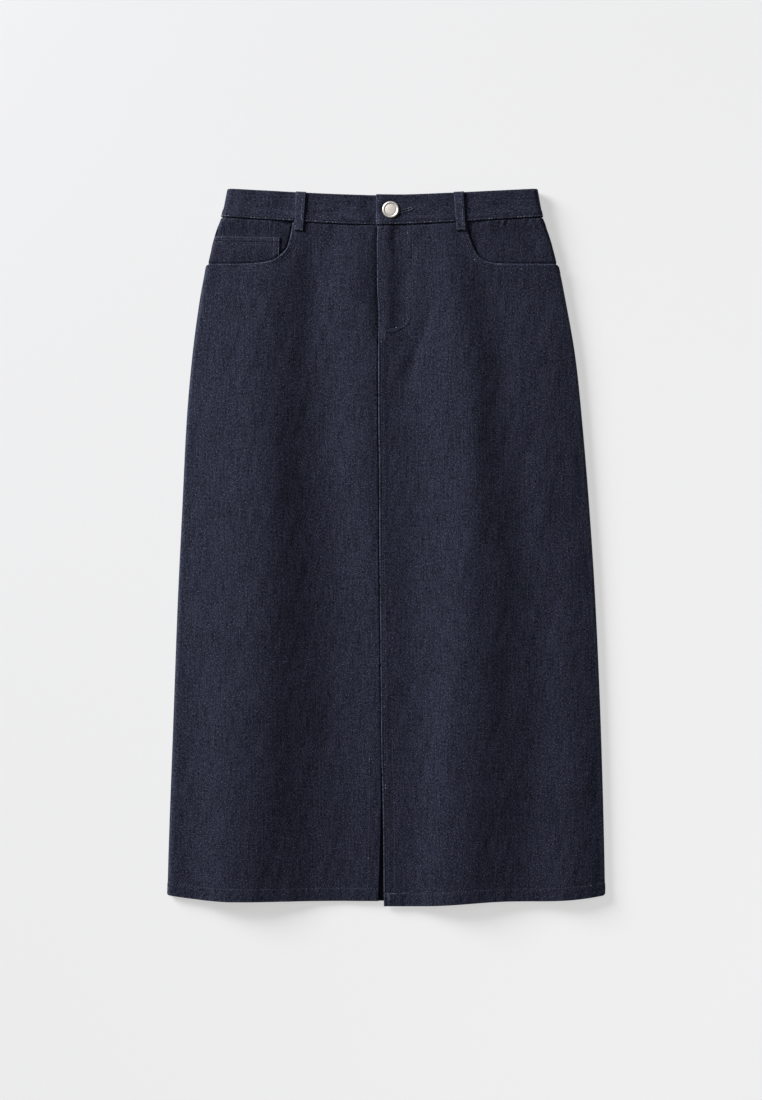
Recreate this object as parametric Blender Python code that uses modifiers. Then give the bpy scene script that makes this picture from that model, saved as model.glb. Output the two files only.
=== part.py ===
"""Denim midi skirt lying flat on its back, as a set of sewn cloth walls and one metal button.

Metres, +Z up.  The skirt lies in the XY plane: +Y runs to the waist, +X to the viewer's right, and the
back panel rests on Z = 0.  Left and right are the viewer's, looking down on the front.

Every cloth piece is a patch of one skin.  The skin is a flattened tube: a flat back, a round turn at
each side and a front that rises and falls over long soft folds.  A place on it is given by three numbers:
  drop   how far down it is from the waist's top edge, measured at the side
  angle  how far round a side turn it is: -90 degrees is the back, 0 the outermost point, 90 the front
  x      where it is across the front or the back
"""

import math
from typing import NamedTuple

import bmesh
import bpy
import numpy as np

# ---- Driving sizes -------------------------------------------------------------------------------------

TOP_Y = 0.3935  # the waist's top edge at the side seams
LENGTH = 0.7747  # waist's top edge to hem, down the side
BAND_DEPTH = 0.031  # waistband, top edge to seam
SEAM_GAP = 0.0003  # clear space between two pieces that are sewn together

WALL = 0.0013  # one layer of denim
BAND_WALL = 0.0022  # waistband: two layers and a stiffener
BAND_PROUD = 0.0006  # how far the waistband stands out from the panels below it
FACING_WALL = 0.0010
LOOP_WALL = 0.0016  # belt loop: a strip folded in three
LOOP_WIDTH = 0.0107
LOOP_TAIL = 0.0112  # how far a belt loop reaches below the waist seam

SIDE_SEAM_ANGLE = math.radians(-25.0)  # the side seam lies just under the outermost point
SIDE_SEAM_GAP = 0.00045  # on the outside; it is narrower inside the turn


class Section(NamedTuple):
    """The flattened tube at one drop: how far it reaches to each side, and the radius of each side turn."""

    drop: float
    left: float
    right: float
    left_turn: float
    right_turn: float


SECTIONS = (
    Section(drop=0.000, left=0.1735, right=0.1655, left_turn=0.0058, right_turn=0.0058),
    Section(drop=0.031, left=0.1805, right=0.1717, left_turn=0.0058, right_turn=0.0058),
    Section(drop=0.052, left=0.1894, right=0.1806, left_turn=0.0057, right_turn=0.0058),
    Section(drop=0.078, left=0.1962, right=0.1879, left_turn=0.0056, right_turn=0.0057),
    Section(drop=0.122, left=0.2048, right=0.1970, left_turn=0.0052, right_turn=0.0055),
    Section(drop=0.188, left=0.2135, right=0.2083, left_turn=0.0044, right_turn=0.0051),
    Section(drop=0.254, left=0.2192, right=0.2152, left_turn=0.0038, right_turn=0.0047),
    Section(drop=0.353, left=0.2242, right=0.2234, left_turn=0.0034, right_turn=0.0044),
    Section(drop=0.452, left=0.2290, right=0.2298, left_turn=0.0032, right_turn=0.0042),
    Section(drop=0.584, left=0.2339, right=0.2356, left_turn=0.0031, right_turn=0.0041),
    Section(drop=0.716, left=0.2388, right=0.2394, left_turn=0.0030, right_turn=0.0040),
    Section(drop=LENGTH, left=0.2405, right=0.2405, left_turn=0.0030, right_turn=0.0040),
)

# The back is lifted a little at the waist, where it lies on its belt loops, and comes down to the floor below.
BACK_LIFT = LOOP_WALL + SEAM_GAP + BAND_PROUD
BACK_LIFT_ENDS = (0.045, 0.115)  # drops where the back starts down and where it touches the floor


class Fold(NamedTuple):
    """A line that runs down the front, along a crest or a valley.

    Each column holds one value for each of FOLD_STATIONS: how far across the front the line is, as a share
    of the width from the left edge, and how high the outside of the cloth is there.
    """

    name: str
    across: tuple
    height: tuple


FOLD_STATIONS = (0.031, 0.120, 0.270, 0.500, 0.775)  # drops: waist seam, hip, thigh, knee, hem

FOLDS = (
    Fold("left crest", (0.15, 0.180, 0.190, 0.185, 0.165), (0.0145, 0.0158, 0.0180, 0.0190, 0.0180)),
    Fold("left valley", (0.30, 0.310, 0.345, 0.385, 0.390), (0.0144, 0.0095, 0.0052, 0.0034, 0.0038)),
    Fold("middle", (0.46, 0.455, 0.460, 0.500, 0.480), (0.0146, 0.0140, 0.0125, 0.0085, 0.0052)),
    Fold("inner dip", (0.56, 0.560, 0.550, 0.545, 0.530), (0.0146, 0.0125, 0.0108, 0.0082, 0.0060)),
    Fold("right crest", (0.70, 0.715, 0.720, 0.700, 0.655), (0.0146, 0.0190, 0.0218, 0.0212, 0.0175)),
    Fold("right valley", (0.82, 0.800, 0.820, 0.865, 0.830), (0.0144, 0.0116, 0.0118, 0.0100, 0.0088)),
    Fold("side crest", (0.92, 0.885, 0.895, 0.930, 0.925), (0.0144, 0.0124, 0.0124, 0.0118, 0.0135)),
)

# Level lines hang lower in the middle of the skirt than at its sides.
TOP_SAG = 0.0071  # waist's top edge
SEAM_SAG = 0.0089  # waist seam
SAG_SOFTNESS = 0.25  # rounds the point of the V
HEM_SAG_SHARES = (0.0, 0.09, 0.20, 0.30, 1.0)  # from the side seam to the middle
HEM_SAG = (0.0, 0.0032, 0.0056, 0.0065, 0.0067)
RIGHT_HEM_EXTRA = 0.0057  # the right front hangs lower than the left beside the slit
RIGHT_HEM_EXTRA_SHARES = (0.42, 0.92)

# The centre-front line: the edge of the fly, the seam below it and the slit.
CENTRE_DROPS = (0.0, 0.033, 0.056, 0.086, 0.150, 0.290, 0.490, 0.585, 0.660, LENGTH)
CENTRE_X = (-0.0107, -0.0104, -0.0119, -0.0098, -0.0087, -0.0074, -0.0057, -0.0050, -0.0039, -0.0026)
FLY_END = 0.150  # drop of the fly's lower end
FLY_CORNER = 0.012  # length over which the lapped strip narrows away at that end
FLY_LAP = 0.012  # how far the left front runs under the right one
FLY_APPROACH = 0.018  # width over which the left front goes down to pass under
FLY_FADE = 0.022  # length over which it comes level again below the fly
SLIT_TOP = 0.585
SLIT_OPENING = 0.0057  # at the hem

# Waistband ends
BAND_LAP = 0.038  # how far the under end runs under the over end
BAND_APPROACH = 0.020


class MouthPoint(NamedTuple):
    """A point on the edge of a front pocket's mouth."""

    x: float
    y: float


LEFT_MOUTH = (
    MouthPoint(x=-0.1022, y=0.3574),
    MouthPoint(x=-0.1036, y=0.3480),
    MouthPoint(x=-0.1055, y=0.3385),
    MouthPoint(x=-0.1088, y=0.3287),
    MouthPoint(x=-0.1162, y=0.3205),
    MouthPoint(x=-0.1261, y=0.3147),
    MouthPoint(x=-0.1409, y=0.3122),
    MouthPoint(x=-0.1673, y=0.3110),
    MouthPoint(x=-0.1980, y=0.3109),
)
RIGHT_MOUTH = (
    MouthPoint(x=0.0887, y=0.3577),
    MouthPoint(x=0.0895, y=0.3463),
    MouthPoint(x=0.0928, y=0.3363),
    MouthPoint(x=0.0964, y=0.3272),
    MouthPoint(x=0.1026, y=0.3178),
    MouthPoint(x=0.1118, y=0.3130),
    MouthPoint(x=0.1240, y=0.3114),
    MouthPoint(x=0.1504, y=0.3110),
    MouthPoint(x=0.1895, y=0.3109),
)
MOUTH_STEPS = 3  # straight steps between two of these points
FACING_UNDER = 0.022  # how far a facing runs on under the front panel
FACING_END = 0.105  # drop of a facing's lower edge
FACING_RAMP = 0.016  # length over which a facing goes down from the seam's level

COIN_WALL = 0.0010
COIN_TOP = 0.0490  # drop of the coin pocket's top edge at its inner end
COIN_TILT = 0.0025  # how much lower the top edge is at the side seam
COIN_END = 0.098
COIN_RIGHT_X = -0.1165

PANEL_LAYER = WALL + SEAM_GAP  # what a piece goes down by to pass under a panel
LEFT_FACING_DEPTH = PANEL_LAYER + COIN_WALL + SEAM_GAP
RIGHT_FACING_DEPTH = PANEL_LAYER

# Belt loops: centre x at the waist's top edge and at the loop's lower end
FRONT_LOOPS = {
    "belt_loop_front_left": (-0.0932, -0.0959),
    "belt_loop_front_right": (0.0793, 0.0822),
}
BACK_LOOPS = {
    "belt_loop_back_left": (-0.0985, -0.1005),
    "belt_loop_back_centre": (-0.0040, -0.0040),
    "belt_loop_back_right": (0.0905, 0.0925),
}
LOOP_TOP_OVER = 0.0005  # a loop stands this far above the waist's top edge

# Button and buttonhole
BUTTON_X = 0.0049
BUTTON_DROP = 0.0156  # from the waist's top edge at the middle
CAP_RADIUS = 0.0093
CAP_EDGE = 0.0011
CAP_HEIGHT = 0.0022
CAP_WELL = 0.0005  # depth of the ring-shaped hollow inside the rim
SHANK_RADIUS = 0.0028
EYELET_RADIUS = 0.0034
SLOT_LENGTH = 0.0205
SLOT_WIDTH = 0.0012
ROUND_STEPS = 28

DENIM_BLUE = (0.020, 0.022, 0.034, 1.0)
FACING_BLUE = (0.018, 0.020, 0.031, 1.0)
NICKEL = (0.72, 0.70, 0.66, 1.0)

# The grid that the front panels and the facings under them share
FRONT_ROWS = np.concatenate(
    [
        np.linspace(BAND_DEPTH, FLY_END - FLY_CORNER, 9),
        [FLY_END - FLY_CORNER * 0.35, FLY_END],
        np.linspace(FLY_END + FLY_FADE, 0.30, 4),
        np.linspace(0.342, LENGTH, 11),
    ]
)
FRONT_COLUMNS = np.linspace(0.0, 1.0, 18)  # from the side turn's end to the middle
LAP_COLUMNS = np.array([0.905, 0.925, 0.945, 0.965, 0.985])  # more of them where the left front goes under
TURN_STEPS = 5
NARROW_STEP = math.radians(3.0)  # the last step before a seam is narrow, so that the wall ends square to it

BACK_ANGLE = -math.pi / 2
FRONT_ANGLE = math.pi / 2


# ---- Curves --------------------------------------------------------------------------------------------


def smoothstep(start, end, at):
    """0 before start, 1 after end, and an S curve between."""
    share = np.clip((np.asarray(at, float) - start) / (end - start), 0.0, 1.0)
    return share * share * (3.0 - 2.0 * share)


def through(knots, values, at):
    """A smooth curve through the points that never overshoots them.

    Cubic pieces; the slope at an inner point is the harmonic mean of its neighbours' slopes, or zero at a
    crest or a valley.  knots and values are lists, one entry for each point, of numbers or of arrays.
    """
    gaps = [b - a for a, b in zip(knots[:-1], knots[1:])]
    slopes = [(b - a) / gap for a, b, gap in zip(values[:-1], values[1:], gaps)]
    bends = [slopes[0]]
    for before, after in zip(slopes[:-1], slopes[1:]):
        same_way = before * after > 0
        total = np.where(same_way, before + after, 1.0)
        bends.append(np.where(same_way, 2.0 * before * after / total, 0.0))
    bends.append(slopes[-1])
    result = values[0] + 0.0 * at
    for k, gap in enumerate(gaps):
        t = np.clip((at - knots[k]) / gap, 0.0, 1.0)
        piece = (
            (1 + 2 * t) * (1 - t) ** 2 * values[k]
            + t * (1 - t) ** 2 * gap * bends[k]
            + t * t * (3 - 2 * t) * values[k + 1]
            - t * t * (1 - t) * gap * bends[k + 1]
        )
        result = np.where(at >= knots[k], piece, result)
    return result


def along_sections(column, drop):
    """One column of SECTIONS as a smooth curve down the skirt."""
    return through([s.drop for s in SECTIONS], [getattr(s, column) for s in SECTIONS], drop)


def centre_x(drop):
    return through(CENTRE_DROPS, CENTRE_X, drop)


def back_level(drop):
    """Height of the back's underside."""
    return BACK_LIFT * (1.0 - smoothstep(*BACK_LIFT_ENDS, drop))


# ---- The skin ------------------------------------------------------------------------------------------


def front_height(x, drop):
    """Height of the outside of the front, from the fold lines at this drop."""
    left, right = -along_sections("left", drop), along_sections("right", drop)
    share = (x - left) / (right - left)
    level = back_level(drop)
    edge_heights = (
        level + 2.0 * along_sections("left_turn", drop),
        level + 2.0 * along_sections("right_turn", drop),
    )
    places = [through(FOLD_STATIONS, fold.across, drop) for fold in FOLDS]
    heights = [through(FOLD_STATIONS, fold.height, drop) for fold in FOLDS]
    return through(
        [0.0 * drop, *places, 1.0 + 0.0 * drop],
        [edge_heights[0], *heights, edge_heights[1]],
        share,
    )


def sag(x, drop, right_front=False):
    """How far a level line hangs below its ends, here."""
    centre = centre_x(drop)
    reach = np.where(x < centre, centre + along_sections("left", drop), along_sections("right", drop) - centre)
    inward = np.clip(1.0 - np.abs(x - centre) / reach, 0.0, 1.0)
    point = math.hypot(1.0, SAG_SOFTNESS)
    vee = (point - np.hypot(1.0 - inward, SAG_SOFTNESS)) / (point - SAG_SOFTNESS)
    waist_sag = (TOP_SAG + (SEAM_SAG - TOP_SAG) * np.clip(drop / BAND_DEPTH, 0.0, 1.0)) * vee
    hem_sag = through(HEM_SAG_SHARES, HEM_SAG, inward)
    down = np.clip((drop - BAND_DEPTH) / (LENGTH - BAND_DEPTH), 0.0, 1.0)
    total = waist_sag * (1.0 - down) + hem_sag * down
    if right_front:
        beside_slit = np.clip((drop - SLIT_TOP) / (LENGTH - SLIT_TOP), 0.0, 1.0)
        total = total + RIGHT_HEM_EXTRA * beside_slit * smoothstep(*RIGHT_HEM_EXTRA_SHARES, inward)
    return total


def skin(side, angle, reach_x, share, drop, right_front=False):
    """Points of the skin.  side is -1 on the left and 1 on the right.

    A point at angle less than a quarter turn is on the side turn.  At a quarter turn up or down it is on
    the front or the back, share of the way from the turn's end to reach_x.
    """
    half_width = along_sections("left" if side < 0 else "right", drop)
    turn = along_sections("left_turn" if side < 0 else "right_turn", drop)
    turned_x = side * (half_width - turn * (1.0 - np.cos(angle)))
    x = turned_x + share * (reach_x - side * (half_width - turn))
    level = back_level(drop)
    rise = np.sin(angle)
    height = np.where(rise > 0, front_height(x, drop) - level - turn, turn)
    z = level + turn + height * rise
    y = TOP_Y - drop - sag(x, drop, right_front)
    return np.stack([x, y, z], axis=-1)


def tangents(points, axis):
    """Directions along the grid.  The two steps beside a point count so that an arc's tangent is exact."""
    line = np.moveaxis(points, axis, 0)
    steps = np.diff(line, axis=0)
    lengths = np.linalg.norm(steps, axis=-1, keepdims=True)
    slopes = steps / lengths
    inner = (slopes[:-1] * lengths[1:] + slopes[1:] * lengths[:-1]) / (lengths[:-1] + lengths[1:])
    return np.moveaxis(np.concatenate([slopes[:1], inner, slopes[-1:]]), 0, axis)


def moved_out(points, distance):
    """The grid of points, each moved along its outward normal.  Columns run round the skirt, rows down it."""
    normal = np.cross(tangents(points, 1), tangents(points, 0))
    normal /= np.linalg.norm(normal, axis=-1, keepdims=True)
    return points + normal * np.broadcast_to(distance, points.shape[:2])[..., None]


# ---- Blender helpers -----------------------------------------------------------------------------------


def clear_scene():
    for obj in list(bpy.data.objects):
        bpy.data.objects.remove(obj, do_unlink=True)


def new_collection(name):
    collection = bpy.data.collections.new(name)
    bpy.context.scene.collection.children.link(collection)
    return collection


def material(name, colour, roughness, metallic=0.0):
    made = bpy.data.materials.new(name)
    made.use_nodes = True
    shader = made.node_tree.nodes["Principled BSDF"]
    shader.inputs["Base Color"].default_value = colour
    shader.inputs["Roughness"].default_value = roughness
    shader.inputs["Metallic"].default_value = metallic
    return made


def cloth(name, points, wall, finish, collection):
    """A cloth wall: a grid sheet laid on the points, given its thickness on the inside."""
    rows, columns = points.shape[:2]
    shape = bmesh.new()
    bmesh.ops.create_grid(shape, x_segments=columns - 1, y_segments=rows - 1, size=1.0)
    for vertex in shape.verts:
        column = round((vertex.co.x + 1.0) / 2.0 * (columns - 1))
        row = round((1.0 - vertex.co.y) / 2.0 * (rows - 1))
        vertex.co = points[row, column]
    mesh = bpy.data.meshes.new(name)
    shape.to_mesh(mesh)
    shape.free()
    mesh.flip_normals()
    obj = bpy.data.objects.new(name, mesh)
    collection.objects.link(obj)
    obj.data.materials.append(finish)
    thickness = obj.modifiers.new("wall", "SOLIDIFY")
    thickness.thickness = wall
    thickness.offset = -1.0
    thickness.use_even_offset = True
    mesh.shade_smooth()
    return obj


def prism(name, outline, bottom, top, collection):
    """A cutter: a flat outline raised into a block."""
    curve = bpy.data.curves.new(name, "CURVE")
    curve.dimensions = "2D"
    curve.fill_mode = "BOTH"
    curve.extrude = (top - bottom) / 2.0
    spline = curve.splines.new("POLY")
    spline.points.add(len(outline) - 1)
    for point, (x, y) in zip(spline.points, outline):
        point.co = (x, y, 0.0, 1.0)
    spline.use_cyclic_u = True
    guide = bpy.data.objects.new(name + "_outline", curve)
    collection.objects.link(guide)
    guide.location.z = (bottom + top) / 2.0
    bpy.context.view_layer.update()
    graph = bpy.context.evaluated_depsgraph_get()
    mesh = bpy.data.meshes.new_from_object(guide.evaluated_get(graph))
    shape = bmesh.new()
    shape.from_mesh(mesh)
    bmesh.ops.remove_doubles(shape, verts=shape.verts, dist=1e-6)
    bmesh.ops.recalc_face_normals(shape, faces=shape.faces)
    shape.to_mesh(mesh)
    shape.free()
    block = bpy.data.objects.new(name, mesh)
    collection.objects.link(block)
    block.matrix_world = guide.matrix_world
    block.hide_render = True
    block.display_type = "WIRE"
    bpy.data.objects.remove(guide)
    return block


def cut(obj, cutter):
    boolean = obj.modifiers.new("cut " + cutter.name, "BOOLEAN")
    boolean.operation = "DIFFERENCE"
    boolean.solver = "EXACT"
    boolean.object = cutter


# ---- Panels --------------------------------------------------------------------------------------------


def side_seam_angle(side, drop, to_front):
    """Where the seam's edge is round the side turn, half a seam gap from the seam line."""
    turn = along_sections("left_turn" if side < 0 else "right_turn", drop)
    half_gap = SIDE_SEAM_GAP / 2.0 / turn
    return SIDE_SEAM_ANGLE + (half_gap if to_front else -half_gap)


def turn_angles(side, drop, to_front, steps=TURN_STEPS):
    """Angles from the front, or from the back, round the side turn to its seam: one row for each drop."""
    start = FRONT_ANGLE if to_front else BACK_ANGLE
    seam = side_seam_angle(side, drop, to_front)
    near_seam = seam + math.copysign(NARROW_STEP, start)
    return np.concatenate([start + (near_seam - start) * np.linspace(0.0, 1.0, steps)[None, :], seam], axis=1)


def left_front_edge(drop):
    """The left front's edge at the middle: lapped under the fly, then on the seam, then along the slit."""
    lap = FLY_LAP * np.sqrt(1.0 - np.clip((drop - FLY_END + FLY_CORNER) / FLY_CORNER, 0.0, 1.0) ** 2)
    opening = SLIT_OPENING * np.clip((drop - SLIT_TOP) / (LENGTH - SLIT_TOP), 0.0, 1.0) ** 1.6
    return centre_x(drop) - SEAM_GAP / 2.0 + lap - opening


def fly_step(x, drop):
    """How far the left front goes down to pass under the right one."""
    approach = smoothstep(-FLY_APPROACH, -0.001, x - centre_x(drop))
    return PANEL_LAYER * approach * (1.0 - smoothstep(FLY_END, FLY_END + FLY_FADE, drop))


def front_left_points():
    drop = (FRONT_ROWS + SEAM_GAP / 2.0)[:, None]
    shares = np.unique(np.concatenate([FRONT_COLUMNS, LAP_COLUMNS]))[None, ::-1]
    flat = skin(-1, FRONT_ANGLE, left_front_edge(drop), shares, drop + 0.0 * shares)
    flat[..., 2] -= fly_step(flat[..., 0], drop)
    angle = turn_angles(-1, drop, to_front=True)[:, 1:]
    return np.concatenate([flat, skin(-1, angle, 0.0, 0.0, drop + 0.0 * angle)], axis=1)


def front_right_points():
    drop = (FRONT_ROWS + SEAM_GAP / 2.0)[:, None]
    angle = turn_angles(1, drop, to_front=True)[:, :0:-1]
    turn = skin(1, angle, 0.0, 0.0, drop + 0.0 * angle)
    shares = FRONT_COLUMNS[None, :]
    edge = centre_x(drop) + SEAM_GAP / 2.0
    flat = skin(1, FRONT_ANGLE, edge, shares, drop + 0.0 * shares, right_front=True)
    return np.concatenate([turn, flat], axis=1)


def back_points():
    drop = (FRONT_ROWS + SEAM_GAP / 2.0)[:, None]
    left_angle = turn_angles(-1, drop, to_front=False, steps=4)[:, ::-1]
    right_angle = turn_angles(1, drop, to_front=False, steps=4)
    left_shares = np.array([[0.25, 0.5, 0.75, 1.0]])
    right_shares = np.array([[0.75, 0.5, 0.25]])
    pieces = (
        skin(-1, left_angle, 0.0, 0.0, drop + 0.0 * left_angle),
        skin(-1, BACK_ANGLE, 0.0, left_shares, drop + 0.0 * left_shares),
        skin(1, BACK_ANGLE, 0.0, right_shares, drop + 0.0 * right_shares),
        skin(1, right_angle, 0.0, 0.0, drop + 0.0 * right_angle),
    )
    return np.concatenate(pieces, axis=1)


def mouth_outline(mouth):
    """The pocket mouth, from the waist seam to the side, and round outside the panel to close the cutter."""
    xs = [point.x for point in mouth]
    ys = [point.y for point in mouth]
    steps = np.hypot(np.diff(xs), np.diff(ys))
    knots = np.concatenate([[0.0], np.cumsum(steps)])
    places = np.interp(np.arange(MOUTH_STEPS * len(steps) + 1) / MOUTH_STEPS, np.arange(len(knots)), knots)
    outward = math.copysign(0.02, xs[-1])
    outline = list(zip(through(knots, xs, places), through(knots, ys, places)))
    outline += [(xs[-1] + outward, ys[-1]), (xs[-1] + outward, ys[0] + 0.03), (xs[0], ys[0] + 0.03)]
    return outline


def facing_depth(x, drop, mouth_x, side, full_depth):
    """Level with the waist seam at the top, and down under the panel round the mouth."""
    below_seam = smoothstep(BAND_DEPTH, BAND_DEPTH + FACING_RAMP, drop)
    near_leg = smoothstep(-0.026, -0.004, side * (mouth_x - x))
    return full_depth * np.maximum(below_seam, near_leg)


def pocket_grid(side, drop, inner_x, shares, share_x, tilt=0.0):
    """Skin points inwards from the side seam: the turn, then shares of the way to share_x, up to inner_x.

    tilt is how much lower a row is at the side than at share_x.
    """
    angle = turn_angles(side, drop, to_front=True)[:, 1:]
    turn = skin(side, angle, 0.0, 0.0, drop + tilt + 0.0 * angle)
    inward = shares[None, ::-1]
    flat = skin(side, FRONT_ANGLE, share_x, inward, drop + tilt * (1.0 - inward))
    kept = (side * (flat[..., 0] - inner_x) > 0).any(axis=0)
    grid = np.concatenate([flat[:, kept], turn], axis=1)
    return grid if side < 0 else grid[:, ::-1]


def facing_points(side, mouth_x, full_depth):
    """Under the panel's own grid, so that the two lie parallel."""
    rows = FRONT_ROWS[FRONT_ROWS < FACING_END]
    drop = (rows + SEAM_GAP / 2.0)[:, None]
    panel_edge = left_front_edge(drop) if side < 0 else centre_x(drop) + SEAM_GAP / 2.0
    grid = pocket_grid(side, drop, mouth_x - side * FACING_UNDER, FRONT_COLUMNS, panel_edge)
    depth = facing_depth(grid[..., 0], drop, mouth_x, side, full_depth)
    return moved_out(grid, -depth)


def coin_pocket_points():
    drop = np.linspace(COIN_TOP, COIN_END, 6)[:, None]
    grid = pocket_grid(-1, drop, 0.0, np.linspace(0.0, 1.0, 9), COIN_RIGHT_X, COIN_TILT)
    return moved_out(grid, -PANEL_LAYER)


# ---- Waistband, belt loops and button ------------------------------------------------------------------


def band_step(x, drop):
    """How far the waistband's left end goes down to pass under its right end."""
    return (BAND_WALL + SEAM_GAP) * smoothstep(-BAND_APPROACH, -0.002, x - centre_x(drop))


def waistband_points():
    """Once round the skirt, from the under end at the middle front to the over end."""
    drop = np.linspace(0.0, BAND_DEPTH - SEAM_GAP / 2.0, 4)[:, None]
    under_shares = np.linspace(1.0, 0.0, 22)[None, :]
    under = skin(-1, FRONT_ANGLE, centre_x(drop) + BAND_LAP, under_shares, drop + 0.0 * under_shares)
    under[..., 2] -= band_step(under[..., 0], drop)
    turn_angles = np.linspace(FRONT_ANGLE, BACK_ANGLE, 11)[None, 1:]
    left_turn = skin(-1, turn_angles, 0.0, 0.0, drop + 0.0 * turn_angles)
    back_shares = np.linspace(0.0, 1.0, 5)[None, 1:]
    back_left = skin(-1, BACK_ANGLE, 0.0, back_shares, drop + 0.0 * back_shares)
    back_right = skin(1, BACK_ANGLE, 0.0, back_shares[:, -2::-1], drop + 0.0 * back_shares[:, -2::-1])
    right_turn = skin(1, turn_angles[:, ::-1], 0.0, 0.0, drop + 0.0 * turn_angles)
    over_shares = np.linspace(0.0, 1.0, 16)[None, :]
    over = skin(1, FRONT_ANGLE, centre_x(drop) + SEAM_GAP / 2.0, over_shares, drop + 0.0 * over_shares)
    grid = np.concatenate([under, left_turn, back_left, back_right, right_turn, over], axis=1)
    return moved_out(grid, BAND_PROUD)


def loop_points(centres, on_back):
    """The outside of a belt loop: a strip of the skin, moved out past the waistband."""
    rows, columns = 9, 3
    drop = np.linspace(-LOOP_TOP_OVER, BAND_DEPTH + LOOP_TAIL, rows)[:, None]
    down = (drop - drop[0]) / (drop[-1] - drop[0])
    centre = centres[0] + (centres[1] - centres[0]) * down
    spread = np.linspace(-0.5, 0.5, columns)[None, :] * LOOP_WIDTH
    x = centre + (spread if on_back else -spread)
    full_drop = drop + 0.0 * x
    z = back_level(full_drop) if on_back else front_height(x, full_drop)
    grid = np.stack([x, TOP_Y - full_drop - sag(x, full_drop), z], axis=-1)
    clear = BAND_PROUD + SEAM_GAP + LOOP_WALL
    if on_back:
        return moved_out(grid, clear)
    onto_panel = smoothstep(BAND_DEPTH - 0.001, BAND_DEPTH + LOOP_TAIL, full_drop)
    return moved_out(grid, clear - BAND_PROUD * onto_panel)


def button_place():
    """(x, y) of the button's axis and the height of the skin there."""
    drop = np.array(BUTTON_DROP)
    x = np.array(BUTTON_X)
    return BUTTON_X, float(TOP_Y - drop - sag(x, drop)), float(front_height(x, drop))


def keyhole_outline():
    """Buttonhole: a round eye with a slot that runs away from the waistband's end."""
    x, y, _ = button_place()
    half = SLOT_WIDTH / 2.0
    start = math.asin(half / EYELET_RADIUS)
    outline = []
    for angle in np.linspace(start, 2.0 * math.pi - start, ROUND_STEPS):
        outline.append((x + EYELET_RADIUS * math.cos(angle), y + EYELET_RADIUS * math.sin(angle)))
    outline += [(x + SLOT_LENGTH, y - half), (x + SLOT_LENGTH, y + half)]
    return outline


def button(finish, collection):
    """Jeans button: a domed cap with a rolled rim on a shank, as one turned piece."""
    x, y, skin_height = button_place()
    cap_bottom = skin_height + BAND_PROUD + SEAM_GAP
    shank_bottom = skin_height + BAND_PROUD - BAND_WALL - SEAM_GAP + SEAM_GAP
    cap_top = cap_bottom + CAP_HEIGHT
    well_floor = cap_top - CAP_WELL
    profile = (
        (0.0, cap_top - CAP_WELL * 0.2),
        (CAP_RADIUS * 0.36, well_floor + CAP_WELL * 0.4),
        (CAP_RADIUS * 0.58, well_floor),
        (CAP_RADIUS * 0.66, cap_top - CAP_WELL * 0.15),
        (CAP_RADIUS * 0.78, cap_top),
        (CAP_RADIUS * 0.92, cap_top - CAP_WELL * 0.6),
        (CAP_RADIUS, cap_bottom + CAP_EDGE),
        (CAP_RADIUS * 0.98, cap_bottom + CAP_EDGE * 0.35),
        (CAP_RADIUS * 0.92, cap_bottom),
        (SHANK_RADIUS, cap_bottom),
        (SHANK_RADIUS, shank_bottom),
        (0.0, shank_bottom),
    )
    mesh = bpy.data.meshes.new("button")
    points = [(radius, 0.0, z) for radius, z in profile]
    mesh.from_pydata(points, [(k, k + 1) for k in range(len(points) - 1)], [])
    obj = bpy.data.objects.new("button", mesh)
    collection.objects.link(obj)
    obj.location = (x, y, 0.0)
    obj.data.materials.append(finish)
    turned = obj.modifiers.new("turned", "SCREW")
    turned.angle = 2.0 * math.pi
    turned.steps = ROUND_STEPS
    turned.render_steps = ROUND_STEPS
    turned.use_merge_vertices = True
    turned.merge_threshold = 0.00001
    turned.use_smooth_shade = True
    return obj


# ---- The skirt -----------------------------------------------------------------------------------------


def main():
    clear_scene()
    skirt = new_collection("denim_skirt")
    cutters = new_collection("cutters")
    denim = material("indigo denim", DENIM_BLUE, 0.85)
    facing_denim = material("indigo denim, shaded", FACING_BLUE, 0.85)
    nickel = material("brushed nickel", NICKEL, 0.35, 1.0)

    front_left = cloth("front_left", front_left_points(), WALL, denim, skirt)
    front_right = cloth("front_right", front_right_points(), WALL, denim, skirt)
    for panel, mouth in ((front_left, LEFT_MOUTH), (front_right, RIGHT_MOUTH)):
        cut(panel, prism(panel.name + "_mouth", mouth_outline(mouth), -0.01, 0.05, cutters))
    cloth("back", back_points(), WALL, denim, skirt)

    facing_left = facing_points(-1, LEFT_MOUTH[0].x, LEFT_FACING_DEPTH)
    facing_right = facing_points(1, RIGHT_MOUTH[0].x, RIGHT_FACING_DEPTH)
    cloth("pocket_facing_left", facing_left, FACING_WALL, facing_denim, skirt)
    cloth("pocket_facing_right", facing_right, FACING_WALL, facing_denim, skirt)
    cloth("coin_pocket", coin_pocket_points(), COIN_WALL, facing_denim, skirt)

    waistband = cloth("waistband", waistband_points(), BAND_WALL, denim, skirt)
    for name, centres in FRONT_LOOPS.items():
        cloth(name, loop_points(centres, on_back=False), LOOP_WALL, denim, skirt)
    for name, centres in BACK_LOOPS.items():
        cloth(name, loop_points(centres, on_back=True), LOOP_WALL, denim, skirt)

    _, _, skin_height = button_place()
    over_end_floor = skin_height + BAND_PROUD - BAND_WALL - SEAM_GAP / 2.0
    cut(waistband, prism("keyhole", keyhole_outline(), over_end_floor, 0.05, cutters))
    button(nickel, skirt)


main()
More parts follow.
